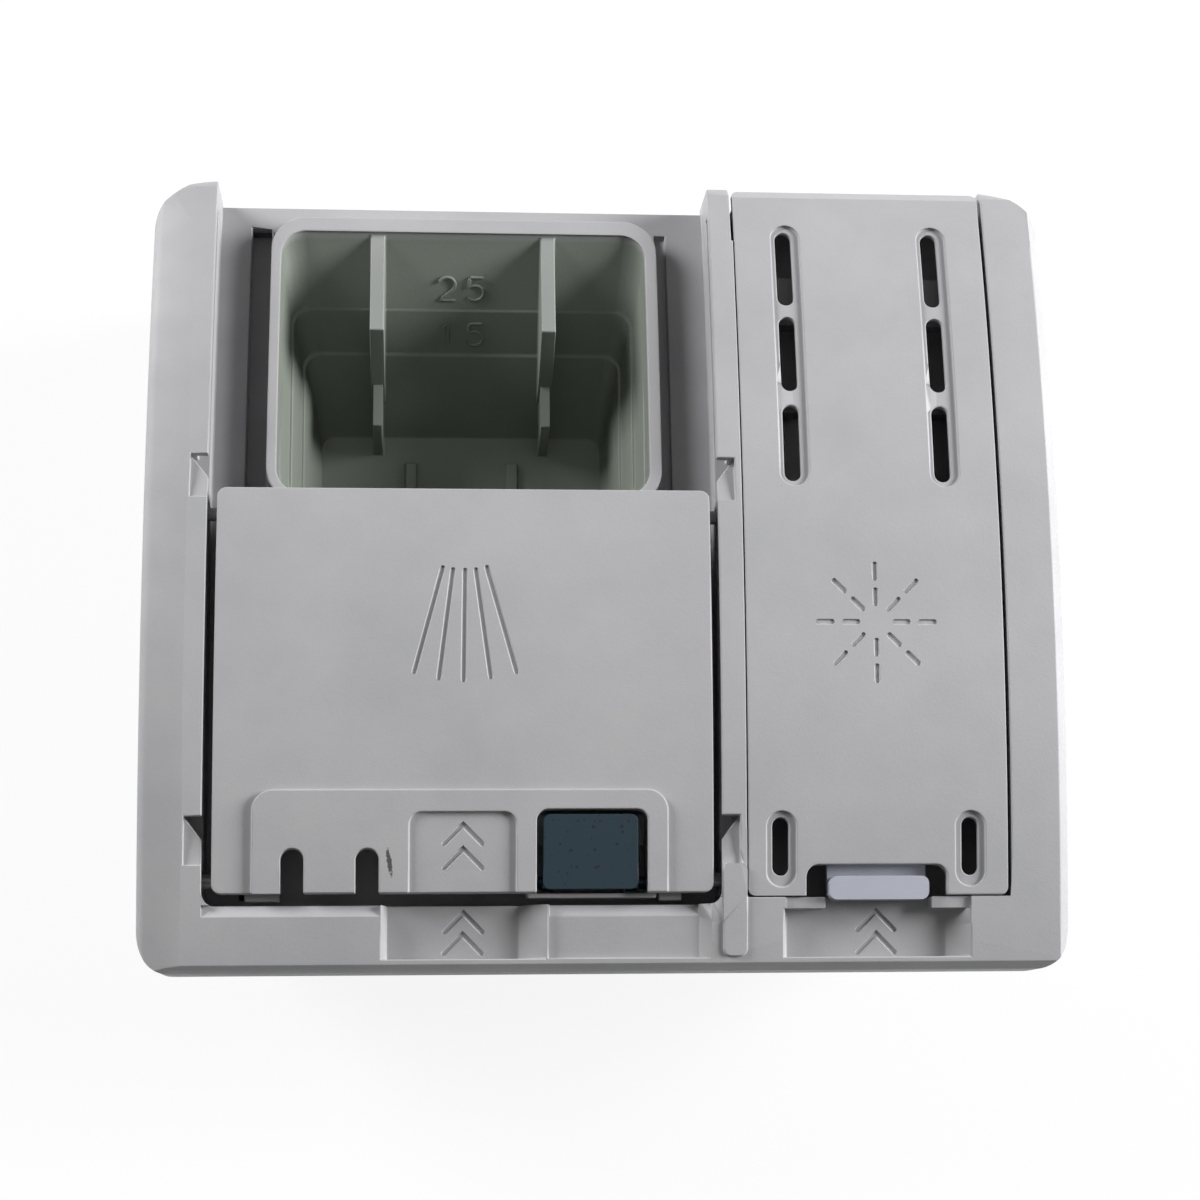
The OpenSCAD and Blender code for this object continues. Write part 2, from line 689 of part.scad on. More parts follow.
module detergent_cover() color(grey) difference() {
    union() {
        layer(0, 2) round_rect(cover_x0, cover_x1, cover_y0, cover_y1, 1.5);
        layer(-0.8, 1) raised_panel();
        // Side walls and ends
        layer(1.9, 5) {
            rect(cover_x0, cover_x0 + wall, cover_y0 + 1, cover_y1 - 1);
            rect(cover_x1 - wall, cover_x1, cover_y0 + 1, cover_y1 - 1);
            rect(cover_x0 + 1, hole_x0, cover_y0 + 0.4, cover_y0 + 2);
            rect(hole_x1, cover_x1 - 1, cover_y0 + 0.4, cover_y0 + 2);
        }
        layer(1.9, 3.4) rect(cover_x0 + 1, cover_x1 - 1, cover_y1 - 0.9, cover_y1);
        // Cheeks and shelf of the button, and the bar below it
        layer(1.9, cheek_d) {
            rect(hole_x0 - cheek, hole_x0, cover_y0 - 0.4, shelf_y1);
            rect(hole_x1, hole_x1 + cheek, cover_y0 - 0.4, shelf_y1);
        }
        layer(cheek_d - 1.2, cheek_d) rect(hole_x0 - 1, hole_x1 + 0.8, shelf_y0, shelf_y1);
        layer(1.4, 3.4) rect(hole_x0 - cheek + 0.2, hole_x1 + cheek - 0.2, cover_y0 - 0.7,
            cover_y0 + 0.1);
        // Feet on the lower edge that stop the open cover
        layer(2.6, 5) for (x = [[-58, -52.5], [8.2, 11.9]]) rect(x[0], x[1], cover_y0 - 1.1,
            cover_y0 + 1);
        // Arm that the spring pulls, in the channel
        layer(1.9, spring_d + 2) rect(channel_x - 1.2, channel_x + 1.2, lug_y - 1.5, lug_y + 1.5);
        for (y = [pin_y_low, pin_y_high]) {
            rod_x(guide_r, tray_x0 - track_depth + 0.3, cover_x0 + 1, y, face_z(y, pin_d));
            rod_x(guide_r, cover_x1 - 1, tray_x1 + track_depth - 0.3, y, face_z(y, pin_d));
        }
    }
    layer(-2, 4) intersection() {
        button_hole();
        rect(-20, 20, cover_y0, -40);
    }
    for (x = [-50.35, -38.5]) layer(-2, 6)
        round_rect(x - 1.85, x + 1.85, cover_y0 - 4, -46.9, 1.8);
    // Finger recess in the raised panel
    cut_above(-0.1) round_rect(-31.9, -14.8, cover_y0 - 6, -41.2, 2);
    rod_x(pivot_r + run_fit, -14, 9, pivot_y, face_z(pivot_y, pivot_d));
    rod_x(0.9, channel_x - 3, channel_x + 3, lug_y, face_z(lug_y, spring_d));
}

// Seal that lies over the cup's rim when the cover is closed
module cover_seal() color(black) layer(2, 4.7) difference() {
    round_rect(rim_out[0] - 0.7, rim_out[1] + 0.7, -40.6, 10.2, 5);
    round_rect(rim_out[0] + 1.9, rim_out[1] - 1.9, -38, 7.6, 3);
}

module button_spring() color(steel) {
    z0 = face_z(-43.6, 6);
    translate([coil_x, -43.6 - 0.2, z0 + 0.4]) spring(1.6, 0.3, 3.3, 4);
}

module release_button() color(dark_grey) {
    layer(-0.3, 1.7) round_rect(button_x0, button_x1, -53.3, -41.5, 1.2);
    pivot_z = face_z(pivot_y, pivot_d);
    for (x = [button_x0, button_x1 - 1.8]) {
        rod_x(1.3, x, x + 1.8, pivot_y, pivot_z);
        layer(1, pivot_d) rect(x, x + 1.8, pivot_y - 0.9, pivot_y + 1.3);
    }
    rod_x(pivot_r, -13, button_x0 + 1, pivot_y, pivot_z);
    rod_x(pivot_r, button_x1 - 1, 7.6, pivot_y, pivot_z);
    // Hook drawn where it catches the lever's claw, and moved back with the cover
    along(-travel) slab_x(-5.5, -0.5, [[-1.2, 47.2], [0.6, 47.2], [0.6, 36.3], [3.3, 36.3],
        [3.3, 35.9], [2.2, 35.1], [-1.2, 35.1]]);
}

// Strip along the latch's guide, from x and w wide, to the left where w is negative
module rail_x(x, w) rect(min(x, x + w), max(x, x + w), -49.4, -42);

module lid_slot(x, w, y0, y1) round_rect(x - w / 2, x + w / 2, y0, y1, w / 2 - 0.01);

module rinse_lid() color(grey) {
    difference() {
        union() {
            layer(0, lid_t) round_rect(lid_x0, lid_x1, lid_y0, lid_y1, 1.2);
            layer(lid_t - 0.1, 5) {
                rect(lid_x0, lid_x0 + 1.6, lid_y0 + 1.5, 58);
                rect(lid_x1 - 1.6, lid_x1, lid_y0 + 1.5, 58);
            }
            // Boss of the filler seal and stop of the latch's spring
            intersection() {
                translate([bay_x, neck_hole_y, 41.2]) cylinder(r = 10.4, h = 8);
                under(1);
            }
            layer(lid_t - 0.1, 5) rect(41, 45.8, -38.4, -36.8);
            // Ears of the hinge
            for (x = [lid_x0, lid_x1 - ear_r]) {
                rod_x(ear_r, x, x + ear_r, lid_axis_y, lid_axis_z);
                intersection() {
                    box(x, x + ear_r, lid_axis_y - ear_r, lid_axis_y + ear_r, lid_axis_z, 45);
                    under(1);
                }
            }
            rod_x(lid_pin_r, 20.9, lid_x0 + 1, lid_axis_y, lid_axis_z);
            rod_x(lid_pin_r, lid_x1 - 1, 66.8, lid_axis_y, lid_axis_z);
            // Guides that hold the latch's plate by its edges
            for (x = [[plate_x0 - 0.4, -1], [plate_x1 + 0.4, 1]]) {
                layer(lid_t - 0.1, 5.4) rail_x(x[0], x[1] * 1.3);
                layer(4.3, 5.4) rail_x(x[0] - x[1] * 1.4, x[1] * 2.7);
            }
        }
        layer(-2, dish_d) for (x = lid_slot_xs) lid_slot(x + 0.25, dish_w, 12.2, 58.9);
        layer(-2, 3) for (x = lid_slot_xs, y = lid_slot_ys) lid_slot(x, slot_w, y[0], y[1]);
        layer(-2, dish_d) for (x = [27.8, 58.55]) lid_slot(x, dish_w, -53.1, -41.1);
        layer(-2, 3) for (x = [27.7, 58.55]) lid_slot(x, 2.7, -51.3, -42.1);
        layer(-2, 3) round_rect(31.8, 54.8, -60, -49.6, 2);
        end_bevel(20, 68, lid_y1);
    }
}

module filler_seal() color(black) translate([bay_x, neck_hole_y, 0]) {
    translate([0, 0, 39]) cylinder(r = 12.6, h = 2.2);
    translate([0, 0, 36.6]) cylinder(r1 = 9.8, r2 = 10.4, h = 2.4);
}

module latch_spring() color(steel) translate([43.4, -44, face_z(-44, 3.5)])
    rotate([latch_tilt - 90, 0, 0]) translate([0, 0, 0.3]) spring(1.1, 0.25, 5.1, 5);

module lid_latch() color(light_grey) {
    // Tab that the finger pushes
    layer(-0.6, 2.4) round_rect(latch_x0, latch_x1, -55.2, -51.5, 1.2);
    layer(2.3, 3.9) {
        rect(plate_x0, plate_x1, -49.2, -44);
        rect(latch_x0, latch_x1, -54.4, -44);
    }
    // Leg with the nose under the ledge of the bottom band
    layer(3.8, 7.2) rect(nose_x0, nose_x1, -54.4, -53);
    layer(5.6, 7.2) rect(nose_x0, nose_x1, -56.3, -53);
}

// Disc with its grip, and the stub that snaps in under the bay's floor
module dosing_dial() color(light_grey) translate([bay_x, dial_y, 0]) {
    translate([0, 0, bay_z + 0.3]) cylinder(r = dial_r, h = 2.2);
    translate([-1.8, -8, bay_z + 2]) cube([3.6, 16, 3.4]);
    translate([0, 0, seat_z - 2]) cylinder(r = stub_r, h = 5);
    translate([0, 0, seat_z - 2]) cylinder(r = stub_r + 1.2, h = 1.7);
}

// Core with its collar, and the rod whose two discs hold the lever's fork
module plunger() color(steel) {
    rod_y(core_r, -37.2, collar_y, coil_x, coil_z);
    rod_y(core_r + 1.4, collar_y, collar_y + 1, coil_x, coil_z);
    rod_y(rod_r, collar_y + 0.5, disc_ys[1] + 1, coil_x, coil_z);
    for (y = disc_ys) rod_y(disc_r, y, y + disc_t, coil_x, coil_z);
}

// Shaft, hub, fork over the plunger's rod and the claw that holds the button's hook
module release_lever() color(light_grey) {
    rod_x(shaft_r, -13, arm_x1 + 0.4, lever_y, lever_z);
    rod_x(3.8, coil_x - 2.6, coil_x + 2.6, lever_y, lever_z);
    difference() {
        box(coil_x - 2.8, coil_x + 2.8, lever_y - 0.8, lever_y + 0.8, 11.4, lever_z);
        box(coil_x - rod_r - 0.15, coil_x + rod_r + 0.15, lever_y - 3, lever_y + 3, 11, 16.9);
    }
    slab_x(-5, -1, [[3.6, 26], [5.4, 26], [5.4, 38.2], [3.6, 38.4], [2, 37.2], [2, 36.6], [3.6, 36.6]]);
}

module valve_arm() color(light_grey) difference() {
    union() {
        rod_x(3.6, arm_x0, arm_x1, lever_y, lever_z);
        box(arm_x0, arm_x1, lever_y, valve_y + 2.4, lever_z - 0.8, lever_z + 0.8);
    }
    rod_x(shaft_r, arm_x0 - 1, arm_x1 + 1, lever_y, lever_z);
    box(valve_x - stem_r - 0.2, valve_x + stem_r + 0.2, valve_y - 1.8, valve_y + 3, 20, 30);
}

module valve_stem() color(light_grey) translate([valve_x, valve_y, 0]) {
    translate([0, 0, 20]) cylinder(r = stem_r, h = 13.4);
    for (z = [[22.8, 1.4], [seal_z - 1.1, 1.1]]) translate([0, 0, z[0]]) cylinder(r = 2.4, h = z[1]);
}

module valve_seal() color(black) translate([valve_x, valve_y, seal_z]) difference() {
    cylinder(r = 3.4, h = 1.34);
    translate([0, 0, -1]) cylinder(r = stem_r, h = 4);
}

module float() color("#E8E4D8") difference() {
    rod_y(float_r, float_y0, float_y1, float_x, float_z);
    rod_y(float_rod_r + 0.1, float_y0 - 1, float_y1 + 1, float_x, float_z);
    rod_x(magnet_r, float_x - float_r - 1, float_x - float_r + 2.4, magnet_y, float_z);
}

module float_magnet() color(black)
    rod_x(magnet_r, float_x - float_r + 0.6, float_x - float_r + 2.4, magnet_y, float_z);

front_housing();
rinse_tank();
rear_cover();
housing_screws();
door_gasket();
sight_glass();
solenoid_frame();
solenoid_bobbin();
solenoid_coil();
coil_terminals();
plunger_spring();
reed_switch();
cover_spring();
shaft_seal();
detergent_cover();
cover_seal();
button_spring();
release_button();
rinse_lid();
filler_seal();
latch_spring();
lid_latch();
dosing_dial();
plunger();
release_lever();
valve_arm();
valve_stem();
valve_seal();
float();
float_magnet();
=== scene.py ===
"""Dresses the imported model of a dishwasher's detergent dispenser and stages it for a photograph.

The mouldings are copies of the solids with rounded edges, pressed signs and raised marks, the
springs are real coils, and every solid that stays gets the finish of its plastic or metal.
"""

import math

import bmesh
import bpy
import numpy as np
from bpy.props import FloatProperty, PointerProperty, StringProperty
from mathutils import Matrix, Vector
from mathutils.bvhtree import BVHTree


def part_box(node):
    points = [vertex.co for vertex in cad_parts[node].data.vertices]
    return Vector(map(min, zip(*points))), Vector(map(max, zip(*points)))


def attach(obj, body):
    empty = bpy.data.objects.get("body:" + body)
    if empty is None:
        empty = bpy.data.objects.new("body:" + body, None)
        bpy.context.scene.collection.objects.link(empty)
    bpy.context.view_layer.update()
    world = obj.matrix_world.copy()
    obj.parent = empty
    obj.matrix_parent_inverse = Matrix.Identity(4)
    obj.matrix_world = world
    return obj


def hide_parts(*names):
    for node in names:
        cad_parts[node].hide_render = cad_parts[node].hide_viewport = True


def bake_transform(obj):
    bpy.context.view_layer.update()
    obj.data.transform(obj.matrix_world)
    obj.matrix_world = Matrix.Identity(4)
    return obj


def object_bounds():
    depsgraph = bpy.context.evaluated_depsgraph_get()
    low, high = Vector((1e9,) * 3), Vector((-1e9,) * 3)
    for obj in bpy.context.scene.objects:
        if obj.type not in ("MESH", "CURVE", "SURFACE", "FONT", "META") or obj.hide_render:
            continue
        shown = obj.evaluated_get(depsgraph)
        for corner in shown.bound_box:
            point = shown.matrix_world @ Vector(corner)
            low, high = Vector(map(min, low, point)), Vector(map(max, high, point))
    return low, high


bl_info = {
    "name": "Dishwasher Dispenser Dresser",
    "version": (1, 0, 0),
    "blender": (4, 5, 0),
    "location": "View3D > Sidebar > Dispenser",
    "description": "Finishes a dishwasher's detergent dispenser and builds its studio",
    "category": "Object",
}

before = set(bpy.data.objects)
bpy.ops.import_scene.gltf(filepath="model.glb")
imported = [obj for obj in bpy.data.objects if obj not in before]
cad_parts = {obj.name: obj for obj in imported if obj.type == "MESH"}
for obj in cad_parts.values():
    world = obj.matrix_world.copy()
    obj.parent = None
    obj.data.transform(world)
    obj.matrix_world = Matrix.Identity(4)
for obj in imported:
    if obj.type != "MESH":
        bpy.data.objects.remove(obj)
CAD_BOX = [[float(x) for x in corner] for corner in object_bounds()]

MM = 0.001
# The face is part of a cylinder whose axis runs along X, this far below the highest line
FACE_R = 325.5 * MM
AXIS_Z = CAD_BOX[1][2] - FACE_R
# Places on the face, in millimetres: the finger recesses' depth, the middle of the cover's
# thumb pad and the channel of its spring
RECESS_DEPTH = 3.2
PANEL_MIDDLE = -23.3
CHANNEL_X = -57.6
# Middle and half size of the cup's opening, and how deep its rim lies under the face
CUP_X, CUP_HALF_X, CUP_Y, CUP_HALF_Y = -23.2, 31.2, 35.1, 23.8
RIM_DEPTH = 5.05
# Tips of the arrows in the two finger recesses and on the cover's pad
RECESS_ARROWS = ((-23.2, -56.8), (-23.3, -60.2), (43.6, -56.8), (43.7, -60.4))
PAD_ARROWS = (-43.2, -47.0)
# Upper and lower ends of the spray sign's five jets
JET_TOPS = ((-26.6, -1.6), (-25.0, -1.9), (-23.1, -2.0), (-21.4, -1.9), (-19.7, -1.5))
JET_ENDS = ((-31.3, -19.3), (-27.3, -20.3), (-23.3, -20.6), (-18.9, -20.1), (-14.7, -19.3))
# Middle of the sparkle sign, and the reach of its inner and outer dashes from there
SPARKLE, SPARKLE_DASHES = (43.7, -10.6), ((2.6, 5.7), (6.8, 10.0))
# Rubbed mark on the cover beside its second notch: x, y, half width, half length, turn
SCUFF = (-35.0, -49.0, 0.55, 3.2, 9)
# Level marks: their left edge, the step from digit to digit and the width of a stroke
MARK_X, MARK_STEP, MARK_WIDTH = -27.6, 4.9, 0.62
# Lower edge of each row of digits on its sloping wall, and the wall's rise
MARK_ROWS = (("25", (48.9, 30.81), (10.8, 8.2)), ("15", (42.5, 25.52), (5.9, 5.5)))

# Painted shade inside the cup: a darker, slightly green colour laid below the cup's rim in place
# of the shade that falls there
PAINTED_CUP_SHADE = "#6B7169"
# How often each pattern repeats in a metre: clouds of 18 mm in the plastic, breaks of 0.4 mm in
# a rubbed mark, and cells of 0.9 mm that may hold a pit
CLOUDS, BREAKS, PIT_CELLS = 55.0, 2500.0, 1100.0
# name, turn from the upper end to the right, height above the face, share of the power
LAMPS = (("right", 78, 24, 1.0), ("left", -58, 24, 0.62))
# The camera's right and up, and its place, as fitted to the outlines of the face
CAMERA_RIGHT, CAMERA_UP = (0.99737, -0.00978, 0.07187), (-0.00441, 0.98086, 0.19468)
CAMERA_PLACE = (-0.0294, -0.0826, 0.4276)
# Faces with more corners than this are split, so that their openings stay open
MANY_CORNERS = 60


# Shapes


def face_z(y, depth=0.0):
    """Height of the curved face at y, lowered by depth: a circle about an axis along X."""
    return np.sqrt((FACE_R - depth) ** 2 - np.asarray(y) ** 2) + AXIS_Z


def mesh_object(name, points, faces):
    """A mesh object at the origin from an array of points and rows of corners."""
    mesh = bpy.data.meshes.new(name)
    mesh.from_pydata(np.asarray(points).tolist(), [], [list(face) for face in faces])
    mesh.update()
    obj = bpy.data.objects.new(name, mesh)
    bpy.context.scene.collection.objects.link(obj)
    return obj


def mend(mesh):
    """Merges doubled points and turns every face outwards."""
    work = bmesh.new()
    work.from_mesh(mesh)
    bmesh.ops.remove_doubles(work, verts=work.verts, dist=1e-7)
    bmesh.ops.recalc_face_normals(work, faces=work.faces)
    work.to_mesh(mesh)
    work.free()


def tube(name, grid, loop=False):
    """A closed skin over a grid of rings.

    One face lies over the first and the last ring, unless the rings run round in a loop.
    """
    rows, cols, _ = grid.shape
    row = np.arange(rows if loop else rows - 1)[:, None]
    col = np.arange(cols)[None, :]
    after, above = (col + 1) % cols, (row + 1) % rows * cols
    row = row * cols
    quads = np.stack([row + col, row + after, above + after, above + col], -1)
    faces = quads.reshape(-1, 4).tolist()
    if not loop:
        faces += [list(range(cols)), list(range((rows - 1) * cols, rows * cols))]
    obj = mesh_object(name, grid.reshape(-1, 3), faces)
    mend(obj.data)
    return obj


def unit(rows):
    """Rows of vectors brought to length one."""
    return rows / np.linalg.norm(rows, axis=-1, keepdims=True)


def sweep(name, path, normal, ring, width):
    """A ring of (side, up) points carried along a path.

    Point(u, v) = path(u) + side(v) * width(u) * across(u) + up(v) * normal(u),
    where across is square to the path and to its normal.
    """
    across = unit(np.cross(unit(np.gradient(path, axis=0)), normal))
    ring = np.asarray(ring)
    grid = (
        path[:, None, :]
        + across[:, None, :] * ring[None, :, :1] * width[:, None, None]
        + normal[:, None, :] * ring[None, :, 1:]
    )
    return tube(name, grid)


def round_ends(from_end, radius):
    """Share of the full width at a distance from a stroke's end: a quarter circle."""
    return np.sqrt(np.clip(1 - (1 - np.clip(from_end / radius, 0, 1)) ** 2, 0.003, 1))


def groove(start, middle, end, width, depth, base=0.0):
    """A cutter for a pressed stroke in the face, in millimetres, with round ends.

    Two straight arms meet in the middle. Their path follows the face at depth base, and their
    section is a trough with flared lips.
    """
    start, middle, end = (np.array(place) * MM for place in (start, middle, end))
    share = 1 - np.cos(np.linspace(0, math.pi / 2, 9))[:, None]
    first, last = start + (middle - start) * share, end + (middle - end) * share
    xy = np.vstack([first, last[-2::-1]])
    from_end = np.minimum(np.linalg.norm(xy - start, axis=1), np.linalg.norm(xy - end, axis=1))
    half = width * MM / 2
    share = round_ends(from_end, half)
    bend = np.dot(unit(middle - start), unit(end - middle))
    share[len(first) - 1] /= math.sqrt((1 + bend) / 2)
    path = np.column_stack([xy, face_z(xy[:, 1], base * MM)])
    normal = unit(path * [0, 1, 1] - [0, 0, AXIS_Z])
    deep = depth * MM
    ring = [
        (-half * 1.35, 0.5 * MM), (-half * 1.3, 0.02 * MM), (-half, -deep * 0.35),
        (-half * 0.75, -deep), (half * 0.75, -deep), (half, -deep * 0.35),
        (half * 1.3, 0.02 * MM), (half * 1.35, 0.5 * MM),
    ]
    return sweep("groove", path, normal, ring, share)


def straight(start, end, width, depth):
    """A straight groove."""
    start, end = np.array(start), np.array(end)
    return groove(start, (start + end) / 2, end, width, depth)


def chevron(x, y, depth, base):
    """A groove bent to an arrowhead that points up the face, with its tip at x, y."""
    arm = 3.3
    return groove((x - arm, y - arm), (x, y), (x + arm, y - arm), 0.75, depth, base)


def bead(points, origin, u_dir, v_dir, width, height):
    """A raised stroke with a round back on a flat wall: a half circle carried along a path."""
    u_dir, v_dir = np.array(u_dir), np.array(v_dir)
    points = np.asarray(points) * MM
    path = np.array(origin) * MM + points[:, :1] * u_dir + points[:, 1:] * v_dir
    normal = np.tile(unit(np.cross(u_dir, v_dir)), (len(path), 1))
    angle = np.linspace(0, math.pi, 9)
    half = width * MM / 2
    ring = np.column_stack([half * np.cos(angle), height * MM * np.sin(angle)])
    ring = np.vstack([ring, [[-half, -0.15 * MM], [half, -0.15 * MM]]])
    step = np.linalg.norm(np.diff(path, axis=0), axis=1)
    along = np.concatenate([[0], np.cumsum(step)])
    from_end = np.minimum(along, along[-1] - along)
    return sweep("mark", path, normal, ring, round_ends(from_end, half))


def arc(x, y, rx, ry, start, end, count=12):
    """Points of an elliptical arc between two angles in degrees."""
    angle = np.radians(np.linspace(start, end, count))
    return np.column_stack([x + rx * np.cos(angle), y + ry * np.sin(angle)])


def line(*corners, count=8):
    """Points spread evenly along the straight runs between corners."""
    runs = [np.linspace(a, b, count)[1:] for a, b in zip(corners, corners[1:])]
    return np.vstack([[corners[0]], *runs])


# Strokes of the level marks, 3.4 mm wide and 4.1 mm high
DIGITS = {
    "1": [line((0.7, 3.2), (1.8, 4.1)), line((1.8, 4.1), (1.8, 0))],
    "2": [np.vstack([arc(1.6, 2.8, 1.4, 1.3, 170, -35), line((2.6, 1.9), (0.4, 0.1))]),
          line((0.3, 0), (3.2, 0))],
    "5": [line((3.0, 4.1), (0.6, 4.1)), line((0.6, 4.1), (0.5, 2.2)),
          arc(1.5, 1.35, 1.5, 1.35, 140, -150)],
}


def wire_along(name, centre, out, wire, sides=8):
    """A round wire along a line of points: rings square to it, turned by the outward side."""
    ahead = np.gradient(centre, axis=0)
    up = unit(np.cross(ahead, out))
    out = unit(np.cross(up, ahead))
    phi = np.linspace(0, 2 * math.pi, sides, endpoint=False)[None, :, None]
    grid = centre[:, None, :] + wire * (np.cos(phi) * out[:, None] + np.sin(phi) * up[:, None])
    return tube(name, grid)


def coil(name, start, end, radius, wire, turns, per_turn=24):
    """A coil spring between two points, its end turns closed.

    Helix(t) = start + lift(t) * along + radius * (cos a * across + sin a * third), where the
    lift grows by one wire a turn at the ends and evenly between them.
    """
    start, end = Vector(start), Vector(end)
    along = (end - start).normalized()
    across = along.orthogonal().normalized()
    axes = [np.array(v) for v in (across, along.cross(across), along)]
    t = np.linspace(0, turns, int(turns * per_turn) + 1)
    angle = 2 * math.pi * t
    closed = 1.0
    touching = 2.05 * wire
    span = (end - start).length - 2 * wire
    open_turns = np.clip(t - closed, 0, turns - 2 * closed)
    open_pitch = (span - 2 * closed * touching) / (turns - 2 * closed)
    lift = wire + (t - open_turns) * touching + open_turns * open_pitch
    out = np.cos(angle)[:, None] * axes[0] + np.sin(angle)[:, None] * axes[1]
    centre = np.array(start) + lift[:, None] * axes[2] + radius * out
    return wire_along(name, centre, out, wire)


def pull_spring(name, x, anchor, lug):
    """A close-wound tension spring: a hook round a cross pin, and an end bent into a hole.

    anchor and lug are the (y, depth) of the pin and of the hole in millimetres, both along X.
    The object comes with their places.
    """
    ends = [
        np.array([x, y * MM, float(face_z(y * MM, depth * MM))]) for y, depth in (anchor, lug)
    ]
    length = np.linalg.norm(ends[1] - ends[0])
    ahead = unit(ends[1] - ends[0])
    side = np.array([1.0, 0, 0])
    up = np.cross(side, ahead)
    radius, wire, turns = 1.1 * MM, 0.24 * MM, 56.25

    # The hook starts under the pin and runs round its far side back over it
    bend = np.radians(np.linspace(0, 240, 30))[:, None]
    hook = ends[0] - 1.28 * MM * (np.cos(bend) * up + np.sin(bend) * ahead)
    t = np.linspace(0, turns, int(turns * 20) + 1)[:, None]
    lift = 2.0 * MM + (length - 4.0 * MM) * t / turns
    angle = 2 * math.pi * t
    winding = ends[0] + lift * ahead + radius * (np.cos(angle) * up + np.sin(angle) * side)
    # Beside the arm, then through its hole
    quarter = np.radians(np.linspace(0, 90, 8))[:, None]
    corner = ends[1] + 1.05 * MM * side - 0.4 * MM * ahead
    turned = corner + 0.4 * MM * (np.cos(quarter) * side + np.sin(quarter) * ahead)
    through = ends[1] + np.linspace(0.9, -1.6, 8)[:, None] * MM * side
    centre = np.vstack([hook, winding, turned, through])
    out = np.vstack([
        np.tile(side, (len(hook), 1)), np.cos(angle) * up + np.sin(angle) * side,
        np.tile(up, (len(turned) + len(through), 1)),
    ])
    return wire_along(name, centre, out, wire, 6), ends[0], ends[1]


def spring(obj, node, near, far, start, end):
    """Finishes a spring: smooth shading, the spring steel finish, and its solid hidden."""
    obj.data.shade_smooth()
    obj.data.materials.append(finish("spring steel"))
    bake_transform(obj)
    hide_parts(node)


def join(name, pieces):
    """One object from several, which are removed."""
    work = bmesh.new()
    for piece in pieces:
        work.from_mesh(piece.data)
        bpy.data.objects.remove(piece)
    mesh = bpy.data.meshes.new(name)
    work.to_mesh(mesh)
    work.free()
    obj = bpy.data.objects.new(name, mesh)
    bpy.context.scene.collection.objects.link(obj)
    return obj


def room_at(edge, corner):
    """How far a rounding of the edge can reach at its corner: the shortest edge beside it."""
    ahead = (edge.other_vert(corner).co - corner.co).normalized()
    beside = [
        other.calc_length() for other in corner.link_edges
        if other != edge
        and (other.other_vert(corner).co - corner.co).normalized().dot(ahead) > -0.8
    ]
    return min(beside, default=1.0)


def room_beside(edge, skin, most):
    """How far both faces of an edge run on beside it, measured by rays close over and under."""
    close = 0.01 * MM
    widest = most
    for loop in edge.link_loops:
        start, end = loop.vert.co, loop.link_loop_next.vert.co
        normal = loop.face.normal
        inward = normal.cross(end - start).normalized()
        count = int(min(max((end - start).length / (1.5 * MM), 3), 24))
        for k in range(count):
            place = start.lerp(end, (k + 0.5) / count) + close * inward
            for lift in (close, -close):
                hit = skin.ray_cast(place + lift * normal, inward, widest)[3]
                widest = min(widest, hit or widest)
    return widest


def moulding(node, radius, cutters=(), angle=35):
    """A copy of a solid, cut by the tools, with the solid's own edges rounded.

    Where an edge has short neighbours, its radius shrinks so that roundings don't run together.
    """
    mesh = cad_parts[node].data.copy()
    mesh.name = node + "_moulding"
    obj = bpy.data.objects.new(mesh.name, mesh)
    bpy.context.scene.collection.objects.link(obj)
    work = bmesh.new()
    work.from_mesh(mesh)
    bmesh.ops.remove_doubles(work, verts=work.verts, dist=3e-6)
    bmesh.ops.dissolve_limit(
        work, angle_limit=math.radians(0.3), verts=work.verts, edges=work.edges
    )
    large = [face for face in work.faces if len(face.verts) > MANY_CORNERS]
    bmesh.ops.triangulate(work, faces=large)
    skin = BVHTree.FromBMesh(work)
    weight = work.edges.layers.float.new("bevel_weight_edge")
    reach = radius * MM
    for edge in work.edges:
        if edge.is_manifold and edge.calc_face_angle() > math.radians(angle):
            space = min(room_at(edge, corner) for corner in edge.verts)
            space = min(space, room_beside(edge, skin, 2.5 * reach))
            edge[weight] = min(1.0, 0.4 * space / reach)
    work.to_mesh(mesh)
    work.free()
    if cutters:
        cut(obj, cutters)
    rounding = obj.modifiers.new("edge radius", "BEVEL")
    rounding.width = reach
    rounding.segments = 2
    rounding.limit_method = "WEIGHT"
    rounding.use_clamp_overlap = False
    rounding.loop_slide = False
    # Where roundings still run into each other, they get smaller twice and then go
    for share in (0.4, 0.4, 0.0, 0.0, 0.0):
        places = faults(evaluated(obj))
        if not places:
            break
        ease(obj.data, np.array(places), 3 * reach, share)
    settle(obj)
    close_gaps(obj.data)
    shade(obj)
    follow_arc(obj.data)
    return obj


def crossings(face):
    """Places where the outline of a face crosses itself."""
    points = np.array([vert.co for vert in face.verts])
    axis = face.normal.orthogonal().normalized()
    flat = points @ np.column_stack([axis, face.normal.cross(axis)])
    step = np.roll(flat, -1, axis=0) - flat
    off = flat[None, :] - flat[:, None]

    def square(a, b):
        return a[..., 0] * b[..., 1] - a[..., 1] * b[..., 0]

    turn = square(step[:, None], step[None, :])
    turn[np.abs(turn) < 1e-15] = 1e-15
    own, other = square(off, step[None, :]) / turn, square(off, step[:, None]) / turn
    hit = (np.abs(own - 0.5) < 0.499) & (np.abs(other - 0.5) < 0.499)
    rows, cols = np.nonzero(np.triu(hit, 2))
    ahead = np.roll(points, -1, axis=0) - points
    return list(points[rows] + own[rows, cols][:, None] * ahead[rows])


